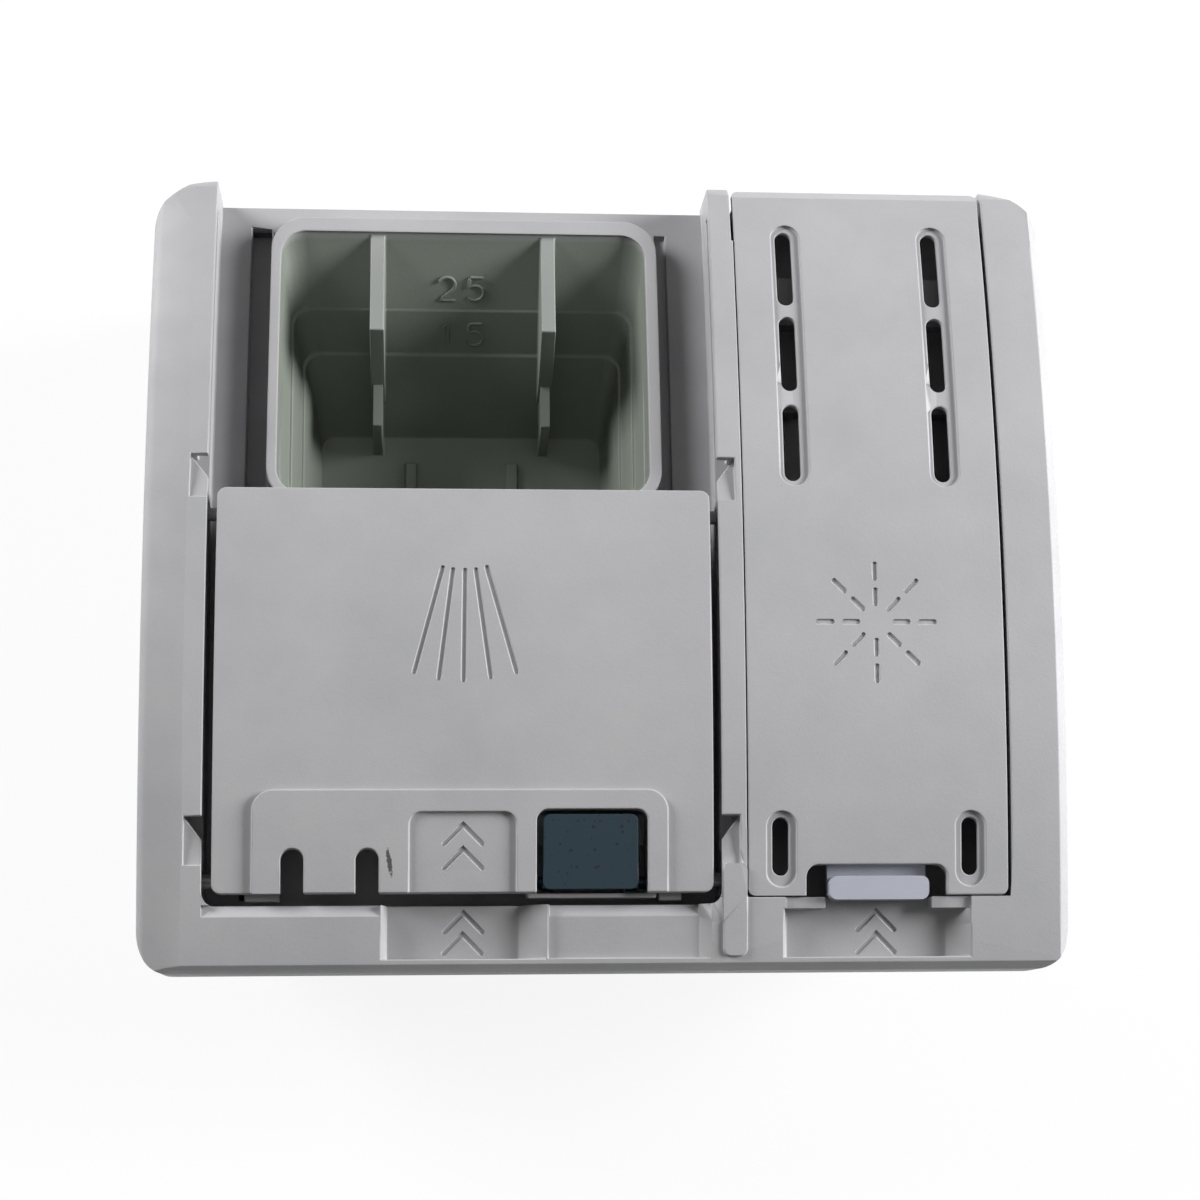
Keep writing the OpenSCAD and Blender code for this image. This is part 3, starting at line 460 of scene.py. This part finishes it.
def faults(mesh):
    """Places where roundings ran into each other: folded edges and crossed outlines."""
    work = bmesh.new()
    work.from_mesh(mesh)
    places = [
        np.array((edge.verts[0].co + edge.verts[1].co) / 2) for edge in work.edges
        if edge.is_manifold and edge.calc_length() > 0.05 * MM
        and edge.calc_face_angle() > math.radians(160)
    ]
    for face in work.faces:
        if len(face.verts) > 4:
            places += crossings(face)
    work.free()
    return places


def ease(mesh, places, reach, share):
    """Brings the roundings near some places down to a share of their size."""
    points = np.empty(len(mesh.vertices) * 3)
    mesh.vertices.foreach_get("co", points)
    ends = np.empty(len(mesh.edges) * 2, np.int32)
    mesh.edges.foreach_get("vertices", ends)
    start, end = np.moveaxis(points.reshape(-1, 3)[ends.reshape(-1, 2)], 1, 0)
    along = end - start
    part = np.sum((places[:, None] - start) * along, axis=-1) / np.sum(along * along, axis=-1)
    nearest = start + np.clip(part, 0, 1)[..., None] * along
    near = np.any(np.linalg.norm(places[:, None] - nearest, axis=-1) < reach, axis=0)
    layer = mesh.attributes["bevel_weight_edge"].data
    weights = np.empty(len(mesh.edges))
    layer.foreach_get("value", weights)
    weights[near] *= share
    layer.foreach_set("value", weights)
    mesh.update()


def close_gaps(mesh):
    """Fills the small openings that a rounding leaves where faces meet in a point."""
    work = bmesh.new()
    work.from_mesh(mesh)
    bmesh.ops.holes_fill(work, edges=[edge for edge in work.edges if edge.is_boundary], sides=6)
    work.to_mesh(mesh)
    work.free()


def evaluated(obj):
    """The mesh that the modifiers of a piece give."""
    graph = bpy.context.evaluated_depsgraph_get()
    return bpy.data.meshes.new_from_object(obj.evaluated_get(graph))


def settle(obj):
    """Puts what the modifiers give into the mesh and takes them off."""
    mesh = evaluated(obj)
    obj.modifiers.clear()
    obj.data = mesh


def cut(obj, cutters):
    """Takes the cutters, which lie clear of each other, out of a piece and removes them."""
    tool = join("tool", cutters)
    step = obj.modifiers.new("tool", "BOOLEAN")
    step.operation = "DIFFERENCE"
    step.solver = "EXACT"
    step.object = tool
    settle(obj)
    bpy.data.objects.remove(tool)


def shade(obj, angle=30):
    """Smooth shading across soft edges, with normals that follow the larger faces."""
    obj.data.shade_smooth()
    obj.data.set_sharp_from_angle(angle=math.radians(angle))
    even = obj.modifiers.new("normals", "WEIGHTED_NORMAL")
    even.keep_sharp = True
    settle(obj)


def follow_arc(mesh):
    """Gives faces that lie on a cylinder about the face's axis that cylinder's own normals.

    A face counts when its corners keep one distance from the axis and its normal is radial.
    """
    corner_count = len(mesh.loops)
    corners = np.empty(corner_count, np.int32)
    mesh.loops.foreach_get("vertex_index", corners)
    points = np.empty(len(mesh.vertices) * 3)
    mesh.vertices.foreach_get("co", points)
    spokes = points.reshape(-1, 3)[corners] * [0, 1, 1] - [0, 0, AXIS_Z]
    far = np.linalg.norm(spokes, axis=1)
    spokes = spokes / far[:, None]
    starts = np.empty(len(mesh.polygons), np.int32)
    totals = np.empty(len(mesh.polygons), np.int32)
    flat = np.empty(len(mesh.polygons) * 3)
    mesh.polygons.foreach_get("loop_start", starts)
    mesh.polygons.foreach_get("loop_total", totals)
    mesh.polygons.foreach_get("normal", flat)
    flat = flat.reshape(-1, 3)
    spread = np.maximum.reduceat(far, starts) - np.minimum.reduceat(far, starts)
    aim = np.add.reduceat(spokes, starts, axis=0) / totals[:, None]
    lean = np.sum(aim * flat, axis=1)
    on_arc = np.repeat((spread < 0.22 * MM) & (np.abs(lean) > math.cos(math.radians(2))), totals)
    side = np.repeat(np.sign(lean), totals)
    normals = np.empty(corner_count * 3)
    mesh.corner_normals.foreach_get("vector", normals)
    normals = normals.reshape(-1, 3)
    normals[on_arc] = spokes[on_arc] * side[on_arc, None]
    mesh.normals_split_custom_set(normals.tolist())


# Finishes


def linear(code):
    """Linear colour of an sRGB hex value."""
    channels = [int(code[k : k + 2], 16) / 255 for k in (1, 3, 5)]
    return [c / 12.92 if c <= 0.04045 else ((c + 0.055) / 1.055) ** 2.4 for c in channels] + [1.0]


def add(tree, kind, links=(), sockets=(), **settings):
    """A shader node with its settings, its socket values and its links."""
    new = tree.nodes.new("ShaderNode" + kind)
    for key, value in settings.items():
        setattr(new, key, value)
    for key, value in dict(sockets).items():
        new.inputs[key].default_value = value
    for target, source in dict(links).items():
        tree.links.new(source, new.inputs[target])
    return new


def painted_shade_mask(tree, place):
    """Share of the cup's painted shade: zero at the cup's rim and one a little under it, from the
    place in space.
    """
    spoke = add(tree, "Mapping", {"Vector": place})
    spoke.inputs["Location"].default_value = (0, 0, -AXIS_Z)
    spoke.inputs["Scale"].default_value = (0, 1, 1)
    far = add(tree, "VectorMath", {0: spoke.outputs[0]}, operation="LENGTH").outputs["Value"]
    rim = FACE_R - RIM_DEPTH * MM
    deep = add(tree, "MapRange", {"Value": far}, {"From Min": rim, "From Max": rim - 1.5 * MM})
    return deep.outputs[0]


def surface(name, colour, cloud, roughness, grain_mm, grain_height, ior, sockets, pits=None,
            scuff=None, painted_shade=None):
    """A finish: its colour clouds slightly over centimetres, and a fine grain lies on it.

    grain_mm is the width of the grain and grain_height how high it stands, in millimetres.
    pits is the colour of small pits, each a ball about the middle of a cell and as large as the
    cell's own random tone lets it be. scuff is the (x, y, half width, half length, turn) of a
    dark rubbed mark. The last argument is the colour of painted shade, laid below the cup's rim.
    """
    material = bpy.data.materials.new(name)
    material.use_nodes = True
    tree = material.node_tree
    tree.nodes.clear()
    place = add(tree, "TexCoord").outputs["Object"]
    clouds = add(tree, "TexNoise", {"Vector": place},
                 {"Scale": CLOUDS, "Detail": 5.0, "Roughness": 0.6}).outputs["Fac"]
    share = add(tree, "MapRange", {"Value": clouds}, {"From Min": 0.35, "From Max": 0.7})
    mix = add(tree, "Mix", {"Factor": share.outputs[0]}, data_type="RGBA")
    mix.inputs[6].default_value = linear(colour)
    mix.inputs[7].default_value = linear(cloud)
    shown = mix.outputs[2]
    if scuff:
        x, y, wide, long, turn = scuff
        local = add(tree, "Mapping", {"Vector": place}, vector_type="TEXTURE")
        local.inputs["Location"].default_value = (x * MM, y * MM, CAD_BOX[1][2])
        local.inputs["Rotation"].default_value = (0, 0, math.radians(turn))
        local.inputs["Scale"].default_value = (wide * MM, long * MM, 20 * MM)
        ball = add(tree, "TexGradient", {"Vector": local.outputs[0]}, gradient_type="SPHERICAL")
        broken = add(tree, "TexNoise", {"Vector": place}, {"Scale": BREAKS, "Detail": 2.0})
        summed = add(tree, "Math", {0: ball.outputs["Fac"], 1: broken.outputs["Fac"]})
        mask = add(tree, "MapRange", {"Value": summed.outputs[0]},
                   {"From Min": 0.75, "From Max": 0.95})
        worn = add(tree, "Mix", {"Factor": mask.outputs[0], 6: shown}, data_type="RGBA")
        worn.inputs[7].default_value = linear("#3A3938")
        shown = worn.outputs[2]
    if pits:
        cells = add(tree, "TexVoronoi", {"Vector": place}, {"Scale": PIT_CELLS})
        uneven = add(tree, "Math", {0: cells.outputs["Distance"], 1: cells.outputs["Color"]})
        mask = add(tree, "MapRange", {"Value": uneven.outputs[0]},
                   {"From Min": 0.55, "From Max": 0.42})
        pitted = add(tree, "Mix", {"Factor": mask.outputs[0], 6: shown}, data_type="RGBA")
        pitted.inputs[7].default_value = linear(pits)
        shown = pitted.outputs[2]
    # Painted shade: below the cup's rim the colour turns darker and greener, in place of the shade
    # there
    if painted_shade:
        in_painted_shade = add(tree, "Mix", {"Factor": painted_shade_mask(tree, place), 6: shown}, data_type="RGBA")
        in_painted_shade.inputs[7].default_value = linear(painted_shade)
        shown = in_painted_shade.outputs[2]
    gloss = add(tree, "MapRange", {"Value": clouds},
                {"From Min": 0.3, "From Max": 0.7, "To Min": roughness - 0.03,
                 "To Max": roughness + 0.05})
    grain = add(tree, "TexNoise", {"Vector": place},
                {"Scale": 1.0 / (grain_mm * MM), "Detail": 2.0, "Roughness": 0.6})
    bump = add(tree, "Bump", {"Height": grain.outputs["Fac"]},
               {"Strength": 1.0, "Distance": grain_height * MM})
    shader = add(tree, "BsdfPrincipled",
                 {"Base Color": shown, "Roughness": gloss.outputs[0],
                  "Normal": bump.outputs["Normal"]}, {"IOR": ior, **sockets})
    add(tree, "OutputMaterial", {"Surface": shader.outputs["BSDF"]})
    return material


# name: colour, cloud, roughness, grain width, grain height, IOR, other sockets, pits
FINISHES = {
    # Talc-filled polypropylene, moulded in an eroded tool: a dry, even grey with a fine grain
    "grained polypropylene": ("#9E9D9F", "#969699", 0.55, 0.45, 0.022, 1.49, {}),
    # The same plastic where fingers push it: slightly smoother and cooler
    "pale polypropylene": ("#A6A7B2", "#9EA0AB", 0.42, 0.4, 0.012, 1.49, {}),
    # ABS of the button: dark blue-grey with a silky, finely pitted face
    "blue grey ABS": ("#162730", "#10202A", 0.46, 0.35, 0.016, 1.5,
                      {"Specular IOR Level": 0.3}, "#070C11"),
    # Natural acetal of levers and valve parts: smooth, faintly waxy
    "acetal": ("#D4D4D0", "#C9C9C6", 0.36, 0.5, 0.006, 1.48, {}),
    # EPDM rubber: almost black, blunt and soft in its lights
    "EPDM rubber": ("#2A2A2C", "#333335", 0.72, 0.5, 0.015, 1.5, {}),
    # Glass-filled nylon of the bobbin and the switch: black with a dry sheen
    "glass-filled nylon": ("#1F2022", "#2A2B2D", 0.55, 0.3, 0.015, 1.53, {}),
    # Polycarbonate window: clear, glossy, faintly cool
    "polycarbonate": ("#E6EEF2", "#DCE6EB", 0.08, 3.0, 0.002, 1.58,
                      {"Transmission Weight": 0.85}),
    # Expanded polypropylene of the float: chalky white
    "foamed polypropylene": ("#E4E0D4", "#D6D1C4", 0.8, 0.8, 0.05, 1.49, {}),
    # Zinc-plated steel: bright grey with a slightly blue passivation
    "zinc-plated steel": ("#A9ADB3", "#989DA6", 0.3, 0.4, 0.004, 1.5, {"Metallic": 1.0}),
    # Spring wire: drawn, darker and smoother
    "spring steel": ("#9A9DA1", "#85888D", 0.24, 0.3, 0.003, 1.5, {"Metallic": 1.0}),
    # Enamelled copper wire of the winding: orange-brown under a clear lacquer
    "enamelled copper": ("#B5642F", "#9C5123", 0.28, 0.3, 0.004, 1.5,
                         {"Metallic": 1.0, "Coat Weight": 0.6}),
    # Brass blades, stamped: pale yellow with light tarnish
    "stamped brass": ("#C8A85A", "#B08F45", 0.3, 0.6, 0.004, 1.5, {"Metallic": 1.0}),
    # Sintered ferrite of the magnet: dull charcoal
    "ferrite": ("#3B3B3E", "#303033", 0.6, 0.4, 0.02, 1.5, {}),
}


def finish(name, scuff=None, painted_shade=None):
    """The material of a named finish, made on its first use."""
    # The version with painted shade below the cup's rim is a material of its own
    key = name + (" with a scuff" if scuff else "") + (" with a film" if painted_shade else "")
    if key not in bpy.data.materials:
        surface(key, *FINISHES[name], scuff=scuff, painted_shade=painted_shade)
    return bpy.data.materials[key]


def dress(obj, material, body, node):
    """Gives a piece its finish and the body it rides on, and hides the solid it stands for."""
    obj.data.materials.clear()
    obj.data.materials.append(material)
    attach(obj, body)
    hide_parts(node)


def paint_cup_shade(mesh):
    """Gives the second material, the one with painted shade, to the cup's inside: faces under its
    opening, open to above.
    """
    places = [vert.co for vert in mesh.vertices]
    skin = BVHTree.FromPolygons(places, [face.vertices for face in mesh.polygons])
    reach = np.array((CUP_HALF_X, CUP_HALF_Y)) + 1.0
    for face in mesh.polygons:
        corners = np.array([places[index][:2] for index in face.vertices]) / MM
        in_painted_shade = (abs(corners - (CUP_X, CUP_Y)) < reach).all()
        if in_painted_shade:
            off_face = face.center + 0.02 * MM * face.normal
            in_painted_shade = skin.ray_cast(off_face, (0, 0, 1))[0] is None
        face.material_index = int(in_painted_shade)


def paint(finish_name, *nodes):
    """Gives solids that stay a finish."""
    for node in nodes:
        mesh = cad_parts[node].data
        mesh.materials.clear()
        mesh.materials.append(finish(finish_name))


# Settings


class MouldingSettings(bpy.types.PropertyGroup):
    """Sizes of the grey mouldings that a user would change"""

    edge_radius: FloatProperty(
        name="Edge radius", description="Radius on the mouldings' edges, in millimetres",
        default=0.25, min=0.05, max=0.6)
    sign_depth: FloatProperty(
        name="Sign depth", description="Depth of the pressed signs, in millimetres",
        default=0.28, min=0.1, max=0.8)
    sign_width: FloatProperty(
        name="Sign width", description="Width of a pressed stroke, in millimetres",
        default=0.8, min=0.4, max=1.2)
    mark_height: FloatProperty(
        name="Mark height", description="Height of the level marks, in millimetres",
        default=0.3, min=0.1, max=0.5)


class StudioSettings(bpy.types.PropertyGroup):
    """Light and background that a user would change"""

    key_power: FloatProperty(
        name="Key light", description="Power of the lamp on the right, in watts",
        default=20.0, min=0.0, unit="POWER")
    fill_strength: FloatProperty(
        name="Fill light", description="Strength of the even light from all round",
        default=0.06, min=0.0)
    paper: StringProperty(
        name="Paper", description="Colour of the floor as an sRGB hex value", default="#F2F2F2")
    lens: FloatProperty(
        name="Lens", description="Focal length of the camera, in millimetres", default=72.0)


# Pieces


class DISPENSER_OT_front(bpy.types.Operator):
    """Dress the front moulding, with its arrows and its level marks"""

    bl_idname = "dispenser.front"
    bl_label = "Front Moulding"

    def execute(self, context):
        sizes = context.scene.dispenser_moulding
        arrows = [chevron(x, y, sizes.sign_depth, RECESS_DEPTH) for x, y in RECESS_ARROWS]
        obj = moulding("front_housing", sizes.edge_radius, arrows)
        # The cup's inside takes a second material, with painted shade below the rim
        painted_shade_finish = finish("grained polypropylene", painted_shade=PAINTED_CUP_SHADE)
        dress(obj, finish("grained polypropylene"), "housing", "front_housing")
        obj.data.materials.append(painted_shade_finish)
        paint_cup_shade(obj.data)
        marks = []
        for text, (y, z), rise in MARK_ROWS:
            up = np.array([0, *rise]) / np.hypot(*rise)
            for k, digit in enumerate(text):
                corner = (MARK_X + MARK_STEP * k, y, z)
                marks += [
                    bead(points, corner, (1, 0, 0), up, MARK_WIDTH, sizes.mark_height)
                    for points in DIGITS[digit]
                ]
        digits = join("level_marks", marks)
        shade(digits)
        # The level marks sit in the cup and take its painted shade too
        digits.data.materials.append(painted_shade_finish)
        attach(digits, "housing")
        return {"FINISHED"}


class DISPENSER_OT_cover(bpy.types.Operator):
    """Dress the sliding cover, with its spray sign and its arrows"""

    bl_idname = "dispenser.cover"
    bl_label = "Detergent Cover"

    def execute(self, context):
        sizes = context.scene.dispenser_moulding
        cutters = [
            straight(top, end, sizes.sign_width, sizes.sign_depth)
            for top, end in zip(JET_TOPS, JET_ENDS)
        ]
        cutters += [chevron(PANEL_MIDDLE, y, sizes.sign_depth, -0.1) for y in PAD_ARROWS]
        obj = moulding("detergent_cover", sizes.edge_radius, cutters)
        scuffed = finish("grained polypropylene", scuff=SCUFF)
        dress(obj, scuffed, "cover", "detergent_cover")
        return {"FINISHED"}


class DISPENSER_OT_lid(bpy.types.Operator):
    """Dress the rinse-aid lid, with its sparkle sign"""

    bl_idname = "dispenser.lid"
    bl_label = "Rinse Lid"

    def execute(self, context):
        sizes = context.scene.dispenser_moulding
        centre = np.array(SPARKLE)
        dashes = []
        for turn in np.radians(np.arange(0, 360, 45)):
            ray = np.array([math.cos(turn), math.sin(turn)])
            for near, far in SPARKLE_DASHES:
                dashes.append(straight(centre + ray * near, centre + ray * far,
                                       sizes.sign_width, sizes.sign_depth))
        obj = moulding("rinse_lid", sizes.edge_radius, dashes)
        dress(obj, finish("grained polypropylene"), "lid", "rinse_lid")
        return {"FINISHED"}


class DISPENSER_OT_touch(bpy.types.Operator):
    """Dress the pieces that fingers touch: button, latch and dosing dial"""

    bl_idname = "dispenser.touch"
    bl_label = "Button, Latch and Dial"

    def execute(self, context):
        for node, body, look, slot, radius in (
            ("release_button", "button", "blue grey ABS", "button_plastic", 0.3),
            ("lid_latch", "latch", "pale polypropylene", "light_plastic", 0.4),
            ("dosing_dial", "dial", "pale polypropylene", "light_plastic", 0.3),
        ):
            dress(moulding(node, radius), finish(look), body, node)
        return {"FINISHED"}


class DISPENSER_OT_rear(bpy.types.Operator):
    """Dress the rear shells of the body"""

    bl_idname = "dispenser.rear"
    bl_label = "Rear Shells"

    def execute(self, context):
        sizes = context.scene.dispenser_moulding
        for node, look, slot in (
            ("rear_cover", "grained polypropylene", "grey_plastic"),
            ("rinse_tank", "pale polypropylene", "light_plastic"),
        ):
            obj = moulding(node, sizes.edge_radius * 1.5)
            dress(obj, finish(look), "housing", node)
        return {"FINISHED"}


class DISPENSER_OT_springs(bpy.types.Operator):
    """Wind the springs as real coils"""

    bl_idname = "dispenser.springs"
    bl_label = "Springs"

    def execute(self, context):
        # node, axis, mean radius, wire, turns, bodies at its two ends
        for node, axis, radius, wire, turns, near, far in (
            ("plunger_spring", 1, 4.9, 0.4, 5, "plunger", "housing"),
            ("button_spring", 2, 1.6, 0.3, 4.5, "cover", "button"),
        ):
            low, high = (np.array(corner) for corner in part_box(node))
            start = (low + high) / 2
            end = start.copy()
            start[axis], end[axis] = low[axis], high[axis]
            obj = coil(node + "_wire", start, end, radius * MM, wire * MM, turns)
            spring(obj, node, near, far, start, end)
        # The latch's spring lies along the face
        low, high = (np.array(corner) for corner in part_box("latch_spring"))
        radius = (high[0] - low[0]) / 2
        x = (low[0] + high[0]) / 2
        tilt = np.arcsin(-(low[1] + high[1]) / 2 / FACE_R)
        start = np.array([x, low[1], low[2] + radius * np.cos(tilt)])
        end = np.array([x, high[1], high[2] - radius * np.cos(tilt)])
        obj = coil("latch_spring_wire", start, end, 1.1 * MM, 0.25 * MM, 6)
        spring(obj, "latch_spring", "latch", "lid", start, end)
        hooked = pull_spring("cover_spring_wire", CHANNEL_X * MM, (-52, 10.6), (-20, 9.4))
        spring(hooked[0], "cover_spring", "housing", "cover", *hooked[1:])
        return {"FINISHED"}


def screw(name, x, y, head_z, tip_z):
    """A thread-forming screw seen from its head: star recess, flange and a cut thread.

    The radius of the shank is core + height * ridge(u), with a ridge that climbs one pitch a
    turn; the recess is a star whose radius swings six times round.
    """
    turns = np.linspace(0, 2 * math.pi, 49)[:-1]
    star = 1.25 + 0.22 * np.cos(6 * turns)
    plain = np.ones_like(turns)
    # Rings from the recess's floor out over the head and down the shank: radius, height
    rings = [(star * 0.5, 1.1), (star * 0.98, 1.1), (star * 1.02, 0.05), (star * 1.12, 0.0),
             (plain * 2.5, 0.0), (plain * 2.85, 0.25), (plain * 2.88, 1.9), (plain * 2.75, 2.15),
             (plain * 1.3, 2.2)]
    pitch, core = 1.1, 1.12
    for down in np.arange(2.6, (tip_z - head_z) / MM - 0.6, pitch / 8):
        climb = (down / pitch - turns / (2 * math.pi)) % 1.0
        rings.append((core + 0.26 * np.clip(1 - np.abs(climb - 0.5) * 3.4, 0, 1), down))
    rings.append((plain * 0.7, (tip_z - head_z) / MM))
    grid = np.array([
        np.column_stack([
            x + radius * MM * np.cos(turns), y + radius * MM * np.sin(turns),
            np.full_like(turns, head_z + down * MM),
        ]) for radius, down in rings
    ])
    return tube(name, grid)


class DISPENSER_OT_screws(bpy.types.Operator):
    """Cut the screws of the rear cover"""

    bl_idname = "dispenser.screws"
    bl_label = "Screws"

    def execute(self, context):
        low, high = (np.array(corner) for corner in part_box("housing_screws"))
        reach = 2.9 * MM
        screws = [
            screw("screw", x, y, low[2], high[2])
            for x in (low[0] + reach, high[0] - reach) for y in (low[1] + reach, high[1] - reach)
        ]
        obj = join("housing_screws_cut", screws)
        shade(obj)
        dress(obj, finish("zinc-plated steel"), "housing", "housing_screws")
        return {"FINISHED"}


class DISPENSER_OT_winding(bpy.types.Operator):
    """Lay the wire of the solenoid's winding, turn by turn"""

    bl_idname = "dispenser.winding"
    bl_label = "Winding"

    def execute(self, context):
        low, high = (np.array(corner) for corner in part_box("solenoid_coil"))
        middle = (low + high) / 2
        radius = (high[0] - low[0]) / 2
        count = 48
        wire = (high[1] - low[1]) / count / 2
        # Half circles side by side: the outer layer of the winding
        v = np.linspace(0, 1, count * 8 + 1)
        crown = radius - wire + wire * np.abs(np.sin(math.pi * count * v))
        along = low[1] + (high[1] - low[1]) * v
        inner = 0.585 * radius
        crown = np.concatenate([crown, [inner, inner]])
        along = np.concatenate([along, [high[1], low[1]]])
        angle = np.linspace(0, 2 * math.pi, 64, endpoint=False)
        grid = np.stack([
            middle[0] + crown * np.cos(angle)[:, None],
            np.broadcast_to(along, (len(angle), len(along))),
            middle[2] + crown * np.sin(angle)[:, None],
        ], axis=-1)
        obj = tube("solenoid_winding", grid, loop=True)
        shade(obj, 40)
        dress(obj, finish("enamelled copper"), "housing", "solenoid_coil")
        return {"FINISHED"}


class DISPENSER_OT_works(bpy.types.Operator):
    """Give the works inside their finishes"""

    bl_idname = "dispenser.works"
    bl_label = "Works"

    def execute(self, context):
        paint("EPDM rubber", "door_gasket", "cover_seal", "filler_seal", "shaft_seal",
              "valve_seal")
        paint("polycarbonate", "sight_glass")
        paint("zinc-plated steel", "solenoid_frame", "plunger")
        paint("glass-filled nylon", "solenoid_bobbin", "reed_switch")
        paint("stamped brass", "coil_terminals")
        paint("acetal", "release_lever", "valve_arm", "valve_stem")
        paint("foamed polypropylene", "float")
        paint("ferrite", "float_magnet")
        return {"FINISHED"}


def paper_finish(colour):
    """Matt white paper: what the camera sees directly is lifted, and the shadow stays on it.

    Seen from underneath it is clear, so that the object's underside shows.
    """
    material = bpy.data.materials.new("matt paper")
    material.use_nodes = True
    tree = material.node_tree
    tree.nodes.clear()
    rays = add(tree, "LightPath")
    seen = add(tree, "Math", {0: rays.outputs["Is Camera Ray"]}, {1: 0.9}, operation="MULTIPLY")
    matt = add(tree, "BsdfPrincipled", sockets={"Base Color": linear(colour), "Roughness": 0.9})
    white = add(tree, "Emission", sockets={"Color": (1, 1, 1, 1), "Strength": 1.0})
    mix = add(tree, "MixShader", {0: seen.outputs[0], 1: matt.outputs[0], 2: white.outputs[0]})
    under = add(tree, "NewGeometry").outputs["Backfacing"]
    clear = add(tree, "BsdfTransparent")
    paper = add(tree, "MixShader", {0: under, 1: mix.outputs[0], 2: clear.outputs[0]})
    add(tree, "OutputMaterial", {"Surface": paper.outputs[0]})
    return material


def studio_world(strength):
    """Even light from all round, which the camera and clear or shiny pieces see as white."""
    world = bpy.data.worlds.new("studio")
    world.use_nodes = True
    tree = world.node_tree
    tree.nodes.clear()
    rays = add(tree, "LightPath")
    direct = rays.outputs["Is Camera Ray"]
    for kind in ("Is Glossy Ray", "Is Transmission Ray"):
        direct = add(tree, "Math", {0: direct, 1: rays.outputs[kind]},
                     operation="MAXIMUM").outputs[0]
    dim = add(tree, "Background", sockets={"Color": (0.93, 1, 0.9, 1), "Strength": strength})
    white = add(tree, "Background", sockets={"Color": (1, 1, 1, 1), "Strength": 1.0})
    mix = add(tree, "MixShader", {0: direct, 1: dim.outputs[0], 2: white.outputs[0]})
    add(tree, "OutputWorld", {"Surface": mix.outputs[0]})
    return world


class DISPENSER_OT_studio(bpy.types.Operator):
    """Lay the paper, hang the lamps and set up the camera"""

    bl_idname = "dispenser.studio"
    bl_label = "Studio"

    def execute(self, context):
        look = context.scene.dispenser_studio
        scene = context.scene
        # The paper lies a hair below the object, so that no two faces share a plane
        reach, gap = 3.0, 0.02 * MM
        floor = mesh_object(
            "paper", [(-reach, -reach, -gap), (reach, -reach, -gap), (reach, reach, -gap),
                      (-reach, reach, -gap)], [(0, 1, 2, 3)])
        floor.data.materials.append(paper_finish(look.paper))
        for name, turn, rise, share in LAMPS:
            turn, rise = math.radians(turn), math.radians(rise)
            lamp = bpy.data.lights.new(name, "AREA")
            lamp.energy = look.key_power * share
            lamp.shape = "DISK"
            lamp.size = 0.45
            holder = bpy.data.objects.new(name, lamp)
            scene.collection.objects.link(holder)
            holder.location = (math.cos(rise) * math.sin(turn), math.cos(rise) * math.cos(turn),
                               math.sin(rise))
            holder.rotation_euler = holder.location.to_track_quat("Z", "Y").to_euler()
        camera = bpy.data.objects.new("camera", bpy.data.cameras.new("camera"))
        scene.collection.objects.link(camera)
        camera.data.lens = look.lens
        camera.data.sensor_width = 36
        right, up = Vector(CAMERA_RIGHT), Vector(CAMERA_UP)
        turn = Matrix((right, up, right.cross(up))).transposed().to_4x4()
        camera.matrix_world = Matrix.Translation(CAMERA_PLACE) @ turn
        scene.camera = camera
        scene.world = studio_world(look.fill_strength)
        scene.view_settings.view_transform = "Standard"
        return {"FINISHED"}


OPERATORS = (
    DISPENSER_OT_studio, DISPENSER_OT_front, DISPENSER_OT_cover, DISPENSER_OT_lid,
    DISPENSER_OT_touch, DISPENSER_OT_rear, DISPENSER_OT_springs, DISPENSER_OT_screws,
    DISPENSER_OT_winding, DISPENSER_OT_works,
)


class DISPENSER_PT_panel(bpy.types.Panel):
    """The pieces and their settings in the sidebar"""

    bl_idname = "DISPENSER_PT_panel"
    bl_label = "Dispenser"
    bl_space_type = "VIEW_3D"
    bl_region_type = "UI"
    bl_category = "Dispenser"

    def draw(self, context):
        for group in (context.scene.dispenser_moulding, context.scene.dispenser_studio):
            box = self.layout.box()
            for name in type(group).__annotations__:
                box.prop(group, name)
        for operator in OPERATORS:
            self.layout.operator(operator.bl_idname)


CLASSES = (MouldingSettings, StudioSettings, *OPERATORS, DISPENSER_PT_panel)


def register():
    for cls in CLASSES:
        bpy.utils.register_class(cls)
    bpy.types.Scene.dispenser_moulding = PointerProperty(type=MouldingSettings)
    bpy.types.Scene.dispenser_studio = PointerProperty(type=StudioSettings)


def unregister():
    del bpy.types.Scene.dispenser_studio
    del bpy.types.Scene.dispenser_moulding
    for cls in reversed(CLASSES):
        bpy.utils.unregister_class(cls)


def main():
    register()
    bpy.ops.dispenser.studio()
    bpy.ops.dispenser.front()
    bpy.ops.dispenser.cover()
    bpy.ops.dispenser.lid()
    bpy.ops.dispenser.touch()
    bpy.ops.dispenser.rear()
    bpy.ops.dispenser.springs()
    bpy.ops.dispenser.screws()
    bpy.ops.dispenser.winding()
    bpy.ops.dispenser.works()


if __name__ == "__main__":
    main()
